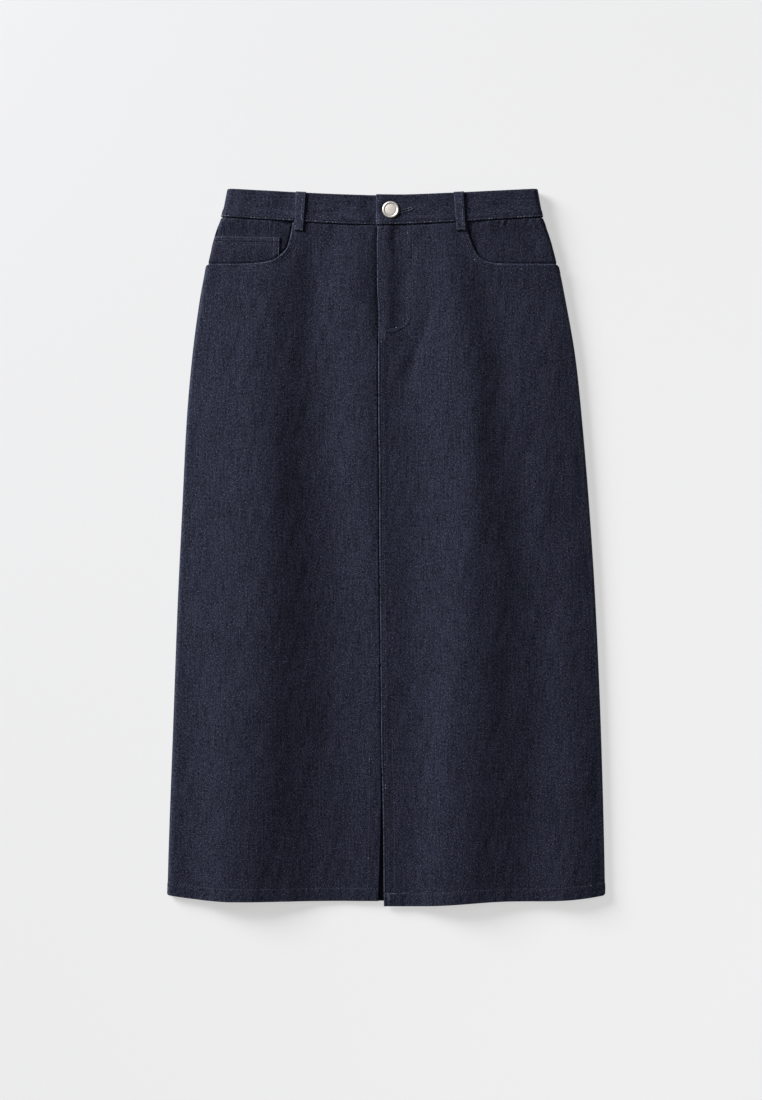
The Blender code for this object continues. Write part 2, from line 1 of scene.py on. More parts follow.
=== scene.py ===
"""Denim midi skirt laid flat on its back: its cloth, sewing and button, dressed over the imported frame.

Metres, +Z up.  +Y runs to the waist and +X to the viewer's right, looking down on the front.
Every cloth piece is a patch of one skin: a flat back, a round turn at each side and a front that rises and
falls over long soft folds.  A place on the skin is given by
  drop   how far down it is from the waist's top edge, measured at the side
  angle  how far round a side turn it is: -90 degrees is the back, 0 the outermost point, 90 the front
  x      where it is across the front or the back
A piece is made on a grid of such places.  Its rows run down the skirt and its columns across it.  Its face is
the skin moved out along its normals by the sum of the creases, puckers and grooves there, less the quarter
round at its edges.
"""

import math

import bpy
import numpy as np
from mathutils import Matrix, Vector


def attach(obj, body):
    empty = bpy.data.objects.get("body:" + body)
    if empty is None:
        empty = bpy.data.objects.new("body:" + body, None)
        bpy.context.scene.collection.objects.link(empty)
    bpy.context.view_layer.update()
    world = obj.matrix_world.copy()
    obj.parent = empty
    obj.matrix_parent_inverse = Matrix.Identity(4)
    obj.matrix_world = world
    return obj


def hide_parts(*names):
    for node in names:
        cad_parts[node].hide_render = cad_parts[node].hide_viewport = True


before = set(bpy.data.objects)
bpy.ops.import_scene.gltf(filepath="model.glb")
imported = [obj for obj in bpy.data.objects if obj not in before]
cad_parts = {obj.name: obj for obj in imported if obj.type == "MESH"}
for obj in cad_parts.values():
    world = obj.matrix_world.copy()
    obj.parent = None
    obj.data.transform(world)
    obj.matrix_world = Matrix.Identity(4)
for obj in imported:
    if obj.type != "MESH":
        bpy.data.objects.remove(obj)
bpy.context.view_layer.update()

MM = 0.001

# ---- Form of the skirt, the same values as its solids ----

TOP_Y = 0.3935  # the waist's top edge at the side seams
LENGTH = 0.7747
BAND_DEPTH = 0.031
SEAM_GAP = 0.0003
WALL = 0.0013  # one layer of denim
BAND_WALL, BAND_PROUD = 0.0022, 0.0006
FACING_WALL = COIN_WALL = 0.0010
LOOP_WALL, LOOP_WIDTH, LOOP_TAIL, LOOP_TOP_OVER = 0.0016, 0.0107, 0.0100, 0.0005
PANEL_LAYER = WALL + SEAM_GAP

LEFT, RIGHT = -1, 1
SIDE_NAME = {LEFT: "left", RIGHT: "right"}
FACING_DEPTH = {LEFT: PANEL_LAYER + COIN_WALL + SEAM_GAP, RIGHT: PANEL_LAYER}
BACK_ANGLE, FRONT_ANGLE = -math.pi / 2, math.pi / 2
SIDE_SEAM, SIDE_SEAM_GAP = math.radians(-25.0), 0.00045

SECTION_DROPS = (0.0, 0.031, 0.040, 0.052, 0.078, 0.122, 0.188, 0.254, 0.353, 0.452, 0.584, 0.716, LENGTH)
REACH = {
    LEFT: (
        0.1735, 0.1805, 0.1855, 0.1894, 0.1962, 0.2048, 0.2135, 0.2192, 0.2242, 0.2290, 0.2339, 0.2388, 0.2405,
    ),
    RIGHT: (
        0.1655, 0.1717, 0.1761, 0.1806, 0.1879, 0.1970, 0.2083, 0.2152, 0.2234, 0.2298, 0.2356, 0.2394, 0.2405,
    ),
}
TURN = {
    LEFT: (
        0.0058, 0.0058, 0.0058, 0.0057, 0.0056, 0.0052, 0.0044, 0.0038, 0.0034, 0.0032, 0.0031, 0.0030, 0.0030,
    ),
    RIGHT: (
        0.0058, 0.0058, 0.0058, 0.0058, 0.0057, 0.0055, 0.0051, 0.0047, 0.0044, 0.0042, 0.0041, 0.0040, 0.0040,
    ),
}
NIP, NIP_START, NIP_DEEPEST, NIP_END = 0.0022, 0.062, 0.0815, 0.090  # beside a pocket mouth, on the back
BACK_LIFT = LOOP_WALL + SEAM_GAP + BAND_PROUD
BACK_LIFT_ENDS = (0.045, 0.115)

# Long folds: for each, the share of the front's width and the height, at each of FOLD_STATIONS down it
FOLD_STATIONS = (0.031, 0.120, 0.270, 0.500, 0.775)
FOLDS = (
    ((0.15, 0.180, 0.190, 0.185, 0.165), (0.0145, 0.0158, 0.0180, 0.0190, 0.0180)),
    ((0.30, 0.310, 0.345, 0.385, 0.390), (0.0144, 0.0095, 0.0052, 0.0034, 0.0038)),
    ((0.46, 0.455, 0.460, 0.500, 0.480), (0.0146, 0.0140, 0.0125, 0.0085, 0.0052)),
    ((0.56, 0.560, 0.550, 0.545, 0.530), (0.0146, 0.0125, 0.0108, 0.0082, 0.0060)),
    ((0.70, 0.715, 0.720, 0.700, 0.655), (0.0146, 0.0190, 0.0218, 0.0212, 0.0175)),
    ((0.82, 0.800, 0.820, 0.865, 0.830), (0.0144, 0.0116, 0.0118, 0.0100, 0.0088)),
    ((0.92, 0.885, 0.895, 0.930, 0.925), (0.0144, 0.0124, 0.0124, 0.0118, 0.0135)),
)

TOP_SAG, SEAM_SAG, SAG_SOFTNESS = 0.0071, 0.0089, 0.25
HEM_SAG_SHARES, HEM_SAG = (0.0, 0.09, 0.20, 0.30, 1.0), (0.0, 0.0032, 0.0056, 0.0065, 0.0067)
RIGHT_HEM_EXTRA, RIGHT_HEM_EXTRA_SHARES = 0.0057, (0.42, 0.92)

CENTRE_DROPS = (
    0.0, 0.030, 0.0335, 0.052, 0.078, 0.104, 0.132, 0.148, 0.163, 0.230, 0.310, 0.377, 0.460, 0.540, 0.600,
    0.675, LENGTH,
)
CENTRE_X = (
    -0.0112, -0.0111, -0.0096, -0.0103, -0.0101, -0.0098, -0.0085, -0.0088, -0.0090, -0.0088, -0.0078, -0.0076,
    -0.0068, -0.0060, -0.0056, -0.0037, -0.0027,
)
FLY_END, FLY_CORNER, FLY_LAP = 0.150, 0.012, 0.003
SLIT_TOP, SLIT_OPENING = 0.585, 0.0057
BAND_LAP, BAND_APPROACH, BAND_END_RISE = 0.038, 0.020, 0.0008

# Pocket mouths, (x, y) from under the waistband to the side
MOUTH = {
    LEFT: (
        (-0.1017, 0.3609), (-0.1022, 0.3574), (-0.1036, 0.3480), (-0.1055, 0.3385), (-0.1088, 0.3287),
        (-0.1162, 0.3205), (-0.1261, 0.3147), (-0.1409, 0.3122), (-0.1673, 0.3110), (-0.1980, 0.3109),
    ),
    RIGHT: (
        (0.0885, 0.3612), (0.0887, 0.3577), (0.0895, 0.3463), (0.0928, 0.3363), (0.0964, 0.3272),
        (0.1026, 0.3178), (0.1118, 0.3130), (0.1240, 0.3114), (0.1504, 0.3110), (0.1895, 0.3109),
    ),
}
MOUTH_CORNER = {LEFT: 0.45, RIGHT: 0.70}  # how round a panel's corner is at the side, as a share of the turn
FACING_UNDER, FACING_END, FACING_RAMP, MOUTH_DITCH = 0.022, 0.105, 0.016, 0.0011
COIN_TOP, COIN_TILT, COIN_END, COIN_RIGHT_X = 0.0490, 0.0025, 0.098, -0.1165
FRONT_LOOPS = {"belt_loop_front_left": (-0.0932, -0.0959), "belt_loop_front_right": (0.0793, 0.0822)}
LOOP_DENTS = (0.0005, 0.0009)  # how deep the waistband is drawn in under each front loop
BACK_LOOPS = {
    "belt_loop_back_left": (-0.0985, -0.1005),
    "belt_loop_back_centre": (-0.0040, -0.0040),
    "belt_loop_back_right": (0.0905, 0.0925),
}
BUTTON_X, BUTTON_DROP, CAP_RADIUS, CAP_HEIGHT = 0.0049, 0.0156, 0.0093, 0.0022
SHANK_RADIUS, BUTTON_SINK = 0.0028, 0.0008
SLOT_LENGTH = 0.0225

# ---- Sewing and small relief ----

EDGE_ROUND, SEAM_ROUND = 0.0009, 0.0006  # radii of a folded cloth edge and of one turned in at a seam
PAINTED_KEY_FALLOFF = 0.014  # how much paler the cloth is painted away from the hem: painted light for the key's falloff down the skirt
SIDE_WEAR_AND_RIM_LIGHT = {LEFT: 0.14, RIGHT: 0.42}  # and how much paler along its sides: rubbed wear and a painted rim highlight
FACING_PAINTED_LIGHT = {LEFT: 0.11, RIGHT: 0.02}  # painted light: how much paler the facings are just below the waist seam, lifting the waistband's shade there
FACING_PUCKERS = {LEFT: 1.3, RIGHT: 2.0}  # how strong the waist seam's puckers are on them
HEM_DEPTH = 0.0138  # hem, from its edge to its row of stitches
HEM_CORNER = 0.85  # how round the hem's corners are, as a share of the side turn
STITCH_PITCH, STITCH_LENGTH = 0.0032, 0.0024
THREAD_WIDTH, THREAD_LIFT = 0.00055, 0.00022
GROOVE = 0.0009  # half width of the groove that a row of stitches presses
MOUTH_LIFT, MOUTH_LIFT_WIDTH = 0.0010, 0.0050  # how high a mouth's steep edge stands off, and over what width
WAIST_DITCH = 0.0020  # how deep the cloth bends in at the waist seam
PUCKER_HEIGHT, PUCKER_WIDTH, PUCKER_LENGTH = 0.00024, 0.0080, 0.0045  # at the waist seam
HEM_THICKER, HEM_GROOVE, HEM_PUCKER_HEIGHT, HEM_PUCKER_WIDTH = 0.00032, 0.00014, 0.00010, 0.0094
SEAM_RIDGE, MOUTH_PROUD, MOUTH_GROOVE = 0.00045, 0.00022, 0.00014
FLY_PROUD, FLY_GROOVE = 0.00045, 0.00050  # between the fly's two rows, and along them
SLOT_DEPTH, WELT_HEIGHT = 0.0014, 0.00016  # of the buttonhole
BAND_PUFF, BAND_UNEVEN, BAND_RIDGE_HEIGHT = 0.00034, 0.00012, 0.0006
BAND_RIDGE = 0.0258  # drop of a low ridge round the band, above its row of stitches
LOOP_DISH, LOOP_GROOVE, LOOP_FOLD, LOOP_BOW = 0.00026, 0.00016, 0.00018, 0.0004
COIN_HEM, COIN_STRIP, COIN_HEM_GROOVE, COIN_STRIP_GROOVE = 0.0003, 0.0004, 0.0006, 0.0003
FRONT_RISE = 0.0085  # what of the waistband lies higher than this belongs to its front
FOLD_SETBACK = 0.012  # the front's creases have died away this near to a side turn
FAR = 1.0  # stands for a distance too great to matter

# The fly's outer row of stitches, (x, y) from the waist seam to its foot
FLY_ROW = (
    (0.0296, 0.3560), (0.0292, 0.3250), (0.0290, 0.2740), (0.0284, 0.2540), (0.0262, 0.2448), (0.0207, 0.2402),
    (0.0118, 0.2352), (0.0030, 0.2334), (-0.0060, 0.2342),
)
FLY_ROWS_APART = 0.0060
FLY_EDGE_ROW = 0.0036  # from the fly's edge, and from the seam's below it, to the row of stitches beside it
MOUTH_ROWS = (0.0014, 0.0060)  # from a pocket mouth's edge to its two rows
MOUTH_ROWS_END = {LEFT: 0.188, RIGHT: 0.180}  # how far out they run

# Grid steps away from an edge: close together over its round, then wider
NEAR_EDGE = MM * np.array(
    [0.0, 0.1, 0.25, 0.45, 0.7, 1.0, 1.35, 1.75, 2.2, 2.7, 3.3, 4.1, 5.2, 6.7, 8.7, 11.2]
)
NEAR_HEM = MM * np.array(
    [0.0, 0.1, 0.25, 0.45, 0.7, 1.0, 1.5, 2.4, 4.0, 6.0, 8.0, 10.0, 11.8, 13.0, 13.8, 14.6, 15.8, 18.0]
)
PIECE_TOP = BAND_DEPTH - 0.0015  # where the back and the facings start, under the waistband
MOUTH_STEP, FINE_MOUTH_STEP = 0.0017, 0.0012
COLUMN_STEP = 0.0022
FINE_COLUMNS = {LEFT: (0.0020, 0.0125), RIGHT: (0.0010, 0.0305)}  # step and end, beside the fly
SPREAD_DROPS = (0.088, 0.30)  # from the first to the second, the columns change to an even spacing
MOUTH_REACH = 0.115  # below this drop a pocket mouth is too far away to matter

# Shares of the way round a side turn at which a piece has its columns
FRONT_STEPS = (0.1, 0.2, 0.32, 0.44, 0.56, 0.68, 0.78, 0.87, 0.93, 0.97, 0.99, 1.0)
FACING_STEPS = (0.15, 0.3, 0.45, 0.6, 0.75, 0.88, 0.95, 0.985, 1.0)
COIN_STEPS = (0.15, 0.3, 0.45, 0.6, 0.75, 0.88, 0.95, 1.0)
BACK_STEPS = (1.0, 0.985, 0.95, 0.88, 0.76, 0.6, 0.45, 0.3, 0.15, 0.0)

# Creases, soft ridges and troughs: x and y of both ends, width, height (a trough's is negative), and the share
# of the length at each end over which it fades out
CREASES = (
    # beside the fly's upper part
    (0.0022, 0.364, 0.0012, 0.238, 0.0070, 0.0011, 0.20),
    (0.0092, 0.356, 0.0098, 0.318, 0.0036, -0.0006, 0.30),
    (0.0195, 0.360, 0.0180, 0.232, 0.0100, -0.0010, 0.25),
    (0.0440, 0.324, 0.0430, 0.284, 0.0042, -0.0006, 0.35),
    (-0.0350, 0.350, -0.0300, 0.290, 0.0075, 0.0006, 0.47),
    (-0.0600, 0.352, -0.0560, 0.280, 0.0090, -0.0007, 0.47),
    # wide soft ones that lead the long folds up to the waist
    (-0.0860, 0.356, -0.0735, 0.235, 0.0150, -0.0017, 0.47),
    (-0.0100, 0.340, -0.0100, 0.100, 0.0150, 0.0005, 0.47),
    (-0.0390, 0.352, -0.0400, 0.235, 0.0160, 0.0013, 0.47),
    (0.0690, 0.345, 0.0760, 0.200, 0.0120, 0.0007, 0.47),
    (0.1000, 0.215, 0.0990, -0.060, 0.0150, 0.0006, 0.47),
    (-0.1250, 0.130, -0.1180, -0.280, 0.0260, 0.0010, 0.47),
    (0.1480, 0.330, 0.1500, -0.020, 0.0450, 0.0014, 0.47),
    (0.0498, 0.268, 0.0212, 0.1784, 0.0078, -0.0016, 0.30),
    (-0.0060, 0.2290, 0.0260, 0.2350, 0.0080, 0.0008, 0.47),
    (-0.1270, 0.300, -0.1250, 0.200, 0.0120, 0.0007, 0.47),
    (0.1080, 0.190, 0.1100, 0.030, 0.0120, -0.0008, 0.47),
    # wide ones that deepen towards the hem
    (-0.2070, -0.100, -0.2110, -0.720, 0.0200, -0.0025, 0.47),
    (0.0380, 0.000, 0.0380, -0.720, 0.0220, -0.0014, 0.47),
    (-0.0980, -0.200, -0.0960, -0.480, 0.0240, -0.0010, 0.47),
    # short ones at the hem
    (-0.1150, -0.362, -0.1160, -0.400, 0.0028, -0.0005, 0.47),
    (-0.1075, -0.358, -0.1080, -0.400, 0.0030, 0.0004, 0.47),
    (-0.0990, -0.364, -0.0985, -0.400, 0.0026, -0.0004, 0.47),
    # hollows beside the tops of the pocket mouths
    (-0.1110, 0.350, -0.1010, 0.318, 0.0060, -0.0009, 0.47),
    (0.0930, 0.350, 0.0985, 0.322, 0.0060, -0.0009, 0.47),
    # in the left pocket, a small fold by the mouth's top
    (-0.1165, 0.3585, -0.1050, 0.3500, 0.0024, 0.0006, 0.47),
    # and one that sinks along the mouth's foot
    (-0.1720, 0.3088, -0.1190, 0.3138, 0.0080, -0.0013, 0.35),
    # in the right pocket, puckers at the seam and a hollow near the side
    (0.1130, 0.3540, 0.1165, 0.3640, 0.0022, 0.0004, 0.25),
    (0.1285, 0.3530, 0.1295, 0.3650, 0.0024, 0.0004, 0.25),
    (0.1600, 0.352, 0.1620, 0.314, 0.0090, -0.0010, 0.47),
)


# ---- Curves and grids ----


def smoothstep(start, end, at):
    """0 before start, 1 after end, and the S curve 3t^2 - 2t^3 between."""
    share = np.clip((np.asarray(at, float) - start) / (end - start), 0.0, 1.0)
    return share * share * (3.0 - 2.0 * share)


def fade_out(start, end, at):
    """1 before start, 0 after end, and the same S curve between."""
    return 1.0 - smoothstep(start, end, at)


def bump_at(middle, half_width, at):
    """1 at the middle, falling as a bell, exp(-(distance / half_width)^2)."""
    return np.exp(-(((np.asarray(at, float) - middle) / half_width) ** 2))


def through(knots, values, at):
    """A smooth curve through the points that never overshoots them.

    Cubic pieces; the slope at an inner point is the harmonic mean of its neighbours' slopes, or zero at a
    crest or a valley.
    """
    gaps = [b - a for a, b in zip(knots[:-1], knots[1:])]
    slopes = [(b - a) / gap for a, b, gap in zip(values[:-1], values[1:], gaps)]
    bends = [slopes[0]]
    for before, after in zip(slopes[:-1], slopes[1:]):
        same_way = before * after > 0
        total = np.where(same_way, before + after, 1.0)
        bends.append(np.where(same_way, 2.0 * before * after / total, 0.0))
    bends.append(slopes[-1])
    result = values[0] + 0.0 * at
    for k, gap in enumerate(gaps):
        t = np.clip((at - knots[k]) / gap, 0.0, 1.0)
        piece = (
            (1 + 2 * t) * (1 - t) ** 2 * values[k]
            + t * (1 - t) ** 2 * gap * bends[k]
            + t * t * (3 - 2 * t) * values[k + 1]
            - t * t * (1 - t) * gap * bends[k + 1]
        )
        result = np.where(at >= knots[k], piece, result)
    return result


def unit(vectors):
    return vectors / np.linalg.norm(vectors, axis=-1, keepdims=True)


def travelled(line):
    """How far along a line of points each one lies."""
    return np.concatenate([[0.0], np.cumsum(np.linalg.norm(np.diff(line, axis=0), axis=1))])


def blended(values, knots, at):
    """Rows of values, known at the knots, at other places between them."""
    return np.stack([np.interp(at, knots, column) for column in values.T], axis=-1)


def nearest(values, wanted):
    return int(np.argmin(np.abs(values - wanted)))


def side_by_side(*grids):
    return np.concatenate(grids, axis=1)


def smooth_plan(points, count):
    """A curve in plan through a few points, by chord length."""
    points = np.array(points)
    knots = travelled(points)
    places = np.linspace(0.0, knots[-1], count)
    return np.stack([through(knots, column, places) for column in points.T], axis=-1)


def mouth_line(side, step):
    """Evenly spaced (x, y) along a pocket mouth's edge."""
    line = smooth_plan(MOUTH[side], 2000)
    length = travelled(line)
    return blended(line, length, np.linspace(0.0, length[-1], round(length[-1] / step) + 1))


def beside(line, distance):
    """A line in plan moved sideways by a distance, to the left of its own direction when positive."""
    ahead = unit(np.gradient(line, axis=0))
    return line + distance * np.stack([-ahead[:, 1], ahead[:, 0]], axis=-1)


def distance_to(line, x, y):
    """Shortest distance in plan from each point to a line of points."""
    place = np.stack([np.ravel(x), np.ravel(y)], axis=-1)
    shortest = np.full(len(place), np.inf)
    for a, b in zip(line[:-1], np.diff(line, axis=0)):
        share = np.clip(((place - a) @ b) / (b @ b), 0.0, 1.0)
        shortest = np.minimum(shortest, np.linalg.norm(place - a - share[:, None] * b, axis=1))
    return shortest.reshape(np.shape(x))


HEM_ROW = nearest(NEAR_HEM[::-1], HEM_DEPTH) - len(NEAR_HEM)  # under the hem's stitches, from the last row


# ---- The skin ----


def reach_at(side, drop):
    return through(SECTION_DROPS, REACH[side], np.asarray(drop, float))


def turn_at(side, drop):
    return through(SECTION_DROPS, TURN[side], np.asarray(drop, float))


def flat_reach(side, drop):
    """How far out the front and the back run before the side turn starts."""
    return reach_at(side, drop) - turn_at(side, drop)


def centre_x(drop):
    return through(CENTRE_DROPS, CENTRE_X, np.asarray(drop, float))


def back_level(drop):
    """Height of the back's underside."""
    return BACK_LIFT * fade_out(*BACK_LIFT_ENDS, drop)


def inside_sides(x, drop):
    """How far in a place is from the nearer side turn's flat end, about."""
    return np.minimum(x + reach_at(LEFT, drop), reach_at(RIGHT, drop) - x) - 0.006


def fold_height(x, drop):
    """Height of the front from the fold lines at this drop, as a curve through them across the width."""
    left, right = -reach_at(LEFT, drop), reach_at(RIGHT, drop)
    level = back_level(drop)
    places = [through(FOLD_STATIONS, across, drop) for across, _ in FOLDS]
    heights = [through(FOLD_STATIONS, height, drop) for _, height in FOLDS]
    return through(
        [0.0 * drop, *places, 1.0 + 0.0 * drop],
        [level + 2.0 * turn_at(LEFT, drop), *heights, level + 2.0 * turn_at(RIGHT, drop)],
        (x - left) / (right - left),
    )


def front_height(x, drop):
    """The folds with their crests and valleys eased: a weighted mean of the curve over a few places across."""
    step = np.clip(inside_sides(x, drop) * 0.5, 0.0, 0.0075)
    total = 0.0
    for place, weight in ((-2, 0.12), (-1, 0.24), (0, 0.28), (1, 0.24), (2, 0.12)):
        total = total + weight * fold_height(x + place * step, drop)
    return total


def sag(x, drop, right_front=False):
    """How far a level line hangs below its ends, here."""
    centre = centre_x(drop)
    reach = np.where(x < centre, centre + reach_at(LEFT, drop), reach_at(RIGHT, drop) - centre)
    inward = np.clip(1.0 - np.abs(x - centre) / reach, 0.0, 1.0)
    point = math.hypot(1.0, SAG_SOFTNESS)
    vee = (point - np.hypot(1.0 - inward, SAG_SOFTNESS)) / (point - SAG_SOFTNESS)
    waist_sag = (TOP_SAG + (SEAM_SAG - TOP_SAG) * np.clip(drop / BAND_DEPTH, 0.0, 1.0)) * vee
    hem_sag = through(HEM_SAG_SHARES, HEM_SAG, inward)
    down = np.clip((drop - BAND_DEPTH) / (LENGTH - BAND_DEPTH), 0.0, 1.0)
    total = waist_sag * (1.0 - down) + hem_sag * down
    if right_front:
        beside_slit = np.clip((drop - SLIT_TOP) / (LENGTH - SLIT_TOP), 0.0, 1.0)
        total = total + RIGHT_HEM_EXTRA * beside_slit * smoothstep(*RIGHT_HEM_EXTRA_SHARES, inward)
    return total


def y_at(x, drop, right_front=False):
    return TOP_Y - drop - sag(x, drop, right_front)


def drop_of(x, y, right_front=False):
    """The drop of a place on the front given by (x, y): y = top - drop - sag, solved by repeated guesses."""
    drop = TOP_Y - y
    for _ in range(6):
        drop = TOP_Y - y - sag(x, drop, right_front)
    return drop


def skin(side, drop, angle=FRONT_ANGLE, share=0.0, to_x=0.0, right_front=False):
    """Points of the skin: on the side turn, or, at its end, a share of the way on from it to to_x."""
    turn, level = turn_at(side, drop), back_level(drop)
    turned_x = side * (reach_at(side, drop) - turn * (1.0 - np.cos(angle)))
    x = turned_x + share * (to_x - side * flat_reach(side, drop))
    rise = np.sin(angle)
    height = np.where(rise > 0, front_height(x, drop) - level - turn, turn)
    return np.stack([x, y_at(x, drop, right_front), level + turn + height * rise], axis=-1)


def tangents(points, axis):
    """Directions along the grid, each the mean of the two steps beside the point, weighted by length."""
    steps = np.diff(np.moveaxis(points, axis, 0), axis=0)
    lengths = np.maximum(np.linalg.norm(steps, axis=-1, keepdims=True), 1e-9)
    slopes = steps / lengths
    inner = (slopes[:-1] * lengths[1:] + slopes[1:] * lengths[:-1]) / (lengths[:-1] + lengths[1:])
    return np.moveaxis(np.concatenate([slopes[:1], inner, slopes[-1:]]), 0, axis)


def outward(points):
    """Unit normals of a grid whose columns run round the skirt and whose rows run down it."""
    normal = np.cross(tangents(points, 1), tangents(points, 0))
    return normal / np.maximum(np.linalg.norm(normal, axis=-1, keepdims=True), 1e-12)


def side_angles(side, drop, to_front, steps):
    """Angles from the front, or the back, round the side turn to its seam: one column for each step."""
    start = FRONT_ANGLE if to_front else BACK_ANGLE
    seam = SIDE_SEAM + (1 if to_front else -1) * SIDE_SEAM_GAP / 2.0 / turn_at(side, drop)
    return start + (seam - start) * np.array(steps)[None, :]


# ---- Relief ----


def crease_relief(x, y):
    """Sum of the creases: a bell across each one, times a half wave along it."""
    total = 0.0 * x
    for x0, y0, x1, y1, width, height, fade in CREASES:
        along_x, along_y = x1 - x0, y1 - y0
        length = math.hypot(along_x, along_y)
        along = ((x - x0) * along_x + (y - y0) * along_y) / length**2
        across = ((x - x0) * along_y - (y - y0) * along_x) / length
        end = smoothstep(-0.12, fade - 0.12, along) * fade_out(1.12 - fade, 1.12, along)
        total = total + height * end * bump_at(0.0, width, across)
    return total


def worn_waves(x, y, seed, wavelength, height):
    """Slight unevenness of pressed cloth: a sum of twelve sine waves with seeded directions and phases, each
    drawn out to 1.6 times its length down the skirt."""
    chance = np.random.default_rng(seed)
    total = 0.0 * x
    for _ in range(12):
        turn, phase = chance.uniform(0, math.pi), chance.uniform(0, 2 * math.pi)
        size = chance.uniform(0.7, 1.6)
        wave = 2 * math.pi / (wavelength * size)
        total = total + np.sin(wave * (x * math.cos(turn) + y * math.sin(turn) / 1.6) + phase)
    return total * height / 3.5


def front_relief(x, y):
    return crease_relief(x, y) + worn_waves(x, y, 4, 0.045, 0.00035) + worn_waves(x, y, 9, 0.017, 0.00012)


def rounded(distance, radius=EDGE_ROUND):
    """How far a folded edge falls away: a quarter circle from the edge to one radius in."""
    inward = np.clip(distance / radius, 0.0, 1.0)
    return radius * (1.0 - np.sqrt(np.clip(1.0 - (1.0 - inward) ** 2, 0.0, 1.0)))


def mouth_lift(side, x, drop, from_mouth):
    """Beside a pocket mouth's steep leg the panel's edge stands off the pocket a little."""
    beyond = side * (x - MOUTH[side][0][0])
    leg = fade_out(0.018, 0.032, beyond) * smoothstep(0.042, 0.050, drop)
    return MOUTH_LIFT * leg * np.exp(-from_mouth / MOUTH_LIFT_WIDTH)


def mouth_ditch(side, x, y):
    """Right beside a pocket's mouth the cloth inside it is pulled down under the panel: a narrow ditch."""
    line = beside(mouth_line(side, FINE_MOUTH_STEP), side * 0.0004)
    near = (y > 0.298) & (y < 0.366) & (np.abs(x) < 0.205)
    ditch = 0.0 * x
    ditch[near] = MOUTH_DITCH * bump_at(0.0, 0.0011, distance_to(line, x[near], y[near]))
    return ditch


def waist_ditch(drop):
    """Just below the waistband the cloth bends down into the seam."""
    return -WAIST_DITCH * fade_out(-0.0005, 0.0016, drop - BAND_DEPTH)


def seam_puckers(x, drop):
    """Small slanting puckers, in uneven groups, that hang from the waist seam: a sine wave across them that
    dies away as exp(-distance / length) below it."""
    below = np.clip(drop - BAND_DEPTH - 0.0015, 0.0, 0.1)
    wave = np.sin(2 * math.pi * (x + 0.4 * below) / PUCKER_WIDTH + 1.5 * np.sin(x / 0.019))
    groups = 0.5 + 0.5 * np.sin(x / 0.0065 + 2.0 * np.sin(x / 0.021) + 1.0)
    fading = np.exp(-below / PUCKER_LENGTH) * smoothstep(0.0, 0.0016, drop - BAND_DEPTH)
    return PUCKER_HEIGHT * wave * groups * fading


def hem_relief(x, drop):
    """The turned-up hem: a little thicker than the cloth, a groove along its stitches and slanting puckers."""
    up = LENGTH - drop
    on_hem = fade_out(HEM_DEPTH - 0.0012, HEM_DEPTH + 0.0014, up)
    puckers = np.sin(2 * math.pi * (x - 0.6 * up) / HEM_PUCKER_WIDTH + 1.3 * np.sin(x / 0.031))
    slack = np.clip(up / 0.004, 0.0, 1.0)
    flat = HEM_THICKER * on_hem - HEM_GROOVE * bump_at(HEM_DEPTH, GROOVE, up)
    return flat + HEM_PUCKER_HEIGHT * on_hem * slack * puckers


def hem_corner(side, angle, drop):
    """How far the hem's corner is rounded up at a side turn: a quarter round seen from above."""
    turned = 1.0 - np.abs(np.sin(angle))
    return HEM_CORNER * turn_at(side, LENGTH) * turned * smoothstep(LENGTH - 0.030, LENGTH, drop)


def below_fly(drop):
    return smoothstep(FLY_END, FLY_END + 0.006, drop)


def seam_ridge(inset, drop):
    """Below the fly the right front stands up along the seam, over its turned-in edge."""
    return SEAM_RIDGE * fade_out(0.0065, 0.0095, inset) * below_fly(drop)


def fly_step(x, drop):
    """How far the left front goes down to pass under the right one: it falls away as exp(distance / length),
    most deeply and widely two thirds of the way down the fly."""
    lower = bump_at(0.112, 0.040, drop)
    depth = PANEL_LAYER + 0.0017 * lower
    approach = np.exp(np.minimum(x - centre_x(drop), 0.0) / (0.0030 + 0.0030 * lower))
    return depth * approach * fade_out(FLY_END - 0.004, FLY_END + 0.012, drop)


def fly_stitch_relief(x, y):
    """The fly's double row presses two shallow grooves, and the cloth between them stands a little proud."""
    relief = 0.0 * x
    near = (x < 0.040) & (y > 0.222) & (y < 0.366)
    outer = smooth_plan(FLY_ROW, 120)
    to_outer = distance_to(outer, x[near], y[near])
    to_inner = distance_to(beside(outer, -FLY_ROWS_APART), x[near], y[near])
    grooves = bump_at(0.0, 0.0008, to_outer) + 0.7 * bump_at(0.0, 0.0008, to_inner)
    between = fade_out(0.0028, 0.0058, to_outer) * fade_out(0.0028, 0.0058, to_inner)
    foot = 0.4 + 0.6 * fade_out(0.246, 0.272, y[near])
    relief[near] = (FLY_PROUD * between - FLY_GROOVE * grooves) * foot
    return relief


def band_step(x, drop):
    """How far the waistband's left end goes down to pass under its right end."""
    return (BAND_WALL + SEAM_GAP) * smoothstep(-BAND_APPROACH, -0.002, x - centre_x(drop))


BUTTON_Y = float(y_at(BUTTON_X, BUTTON_DROP))
# Ends of the buttonhole's slot, in plan: it slants up from under the cap away from the band's end
SLOT_X0, SLOT_Y0, SLOT_X1, SLOT_Y1 = BUTTON_X, BUTTON_Y - 0.0045, BUTTON_X + SLOT_LENGTH, BUTTON_Y + 0.0010


def button_dish(x, y):
    """The cap draws the band down in a dish a little wider than itself, deepest towards its upper right."""
    away = np.hypot(x - BUTTON_X, y - BUTTON_Y)
    corner = bump_at(BUTTON_X + 0.0058, 0.0052, x) * bump_at(BUTTON_Y + 0.0070, 0.0040, y)
    return BUTTON_SINK * fade_out(0.0094, 0.0128, away) + 0.0005 * corner


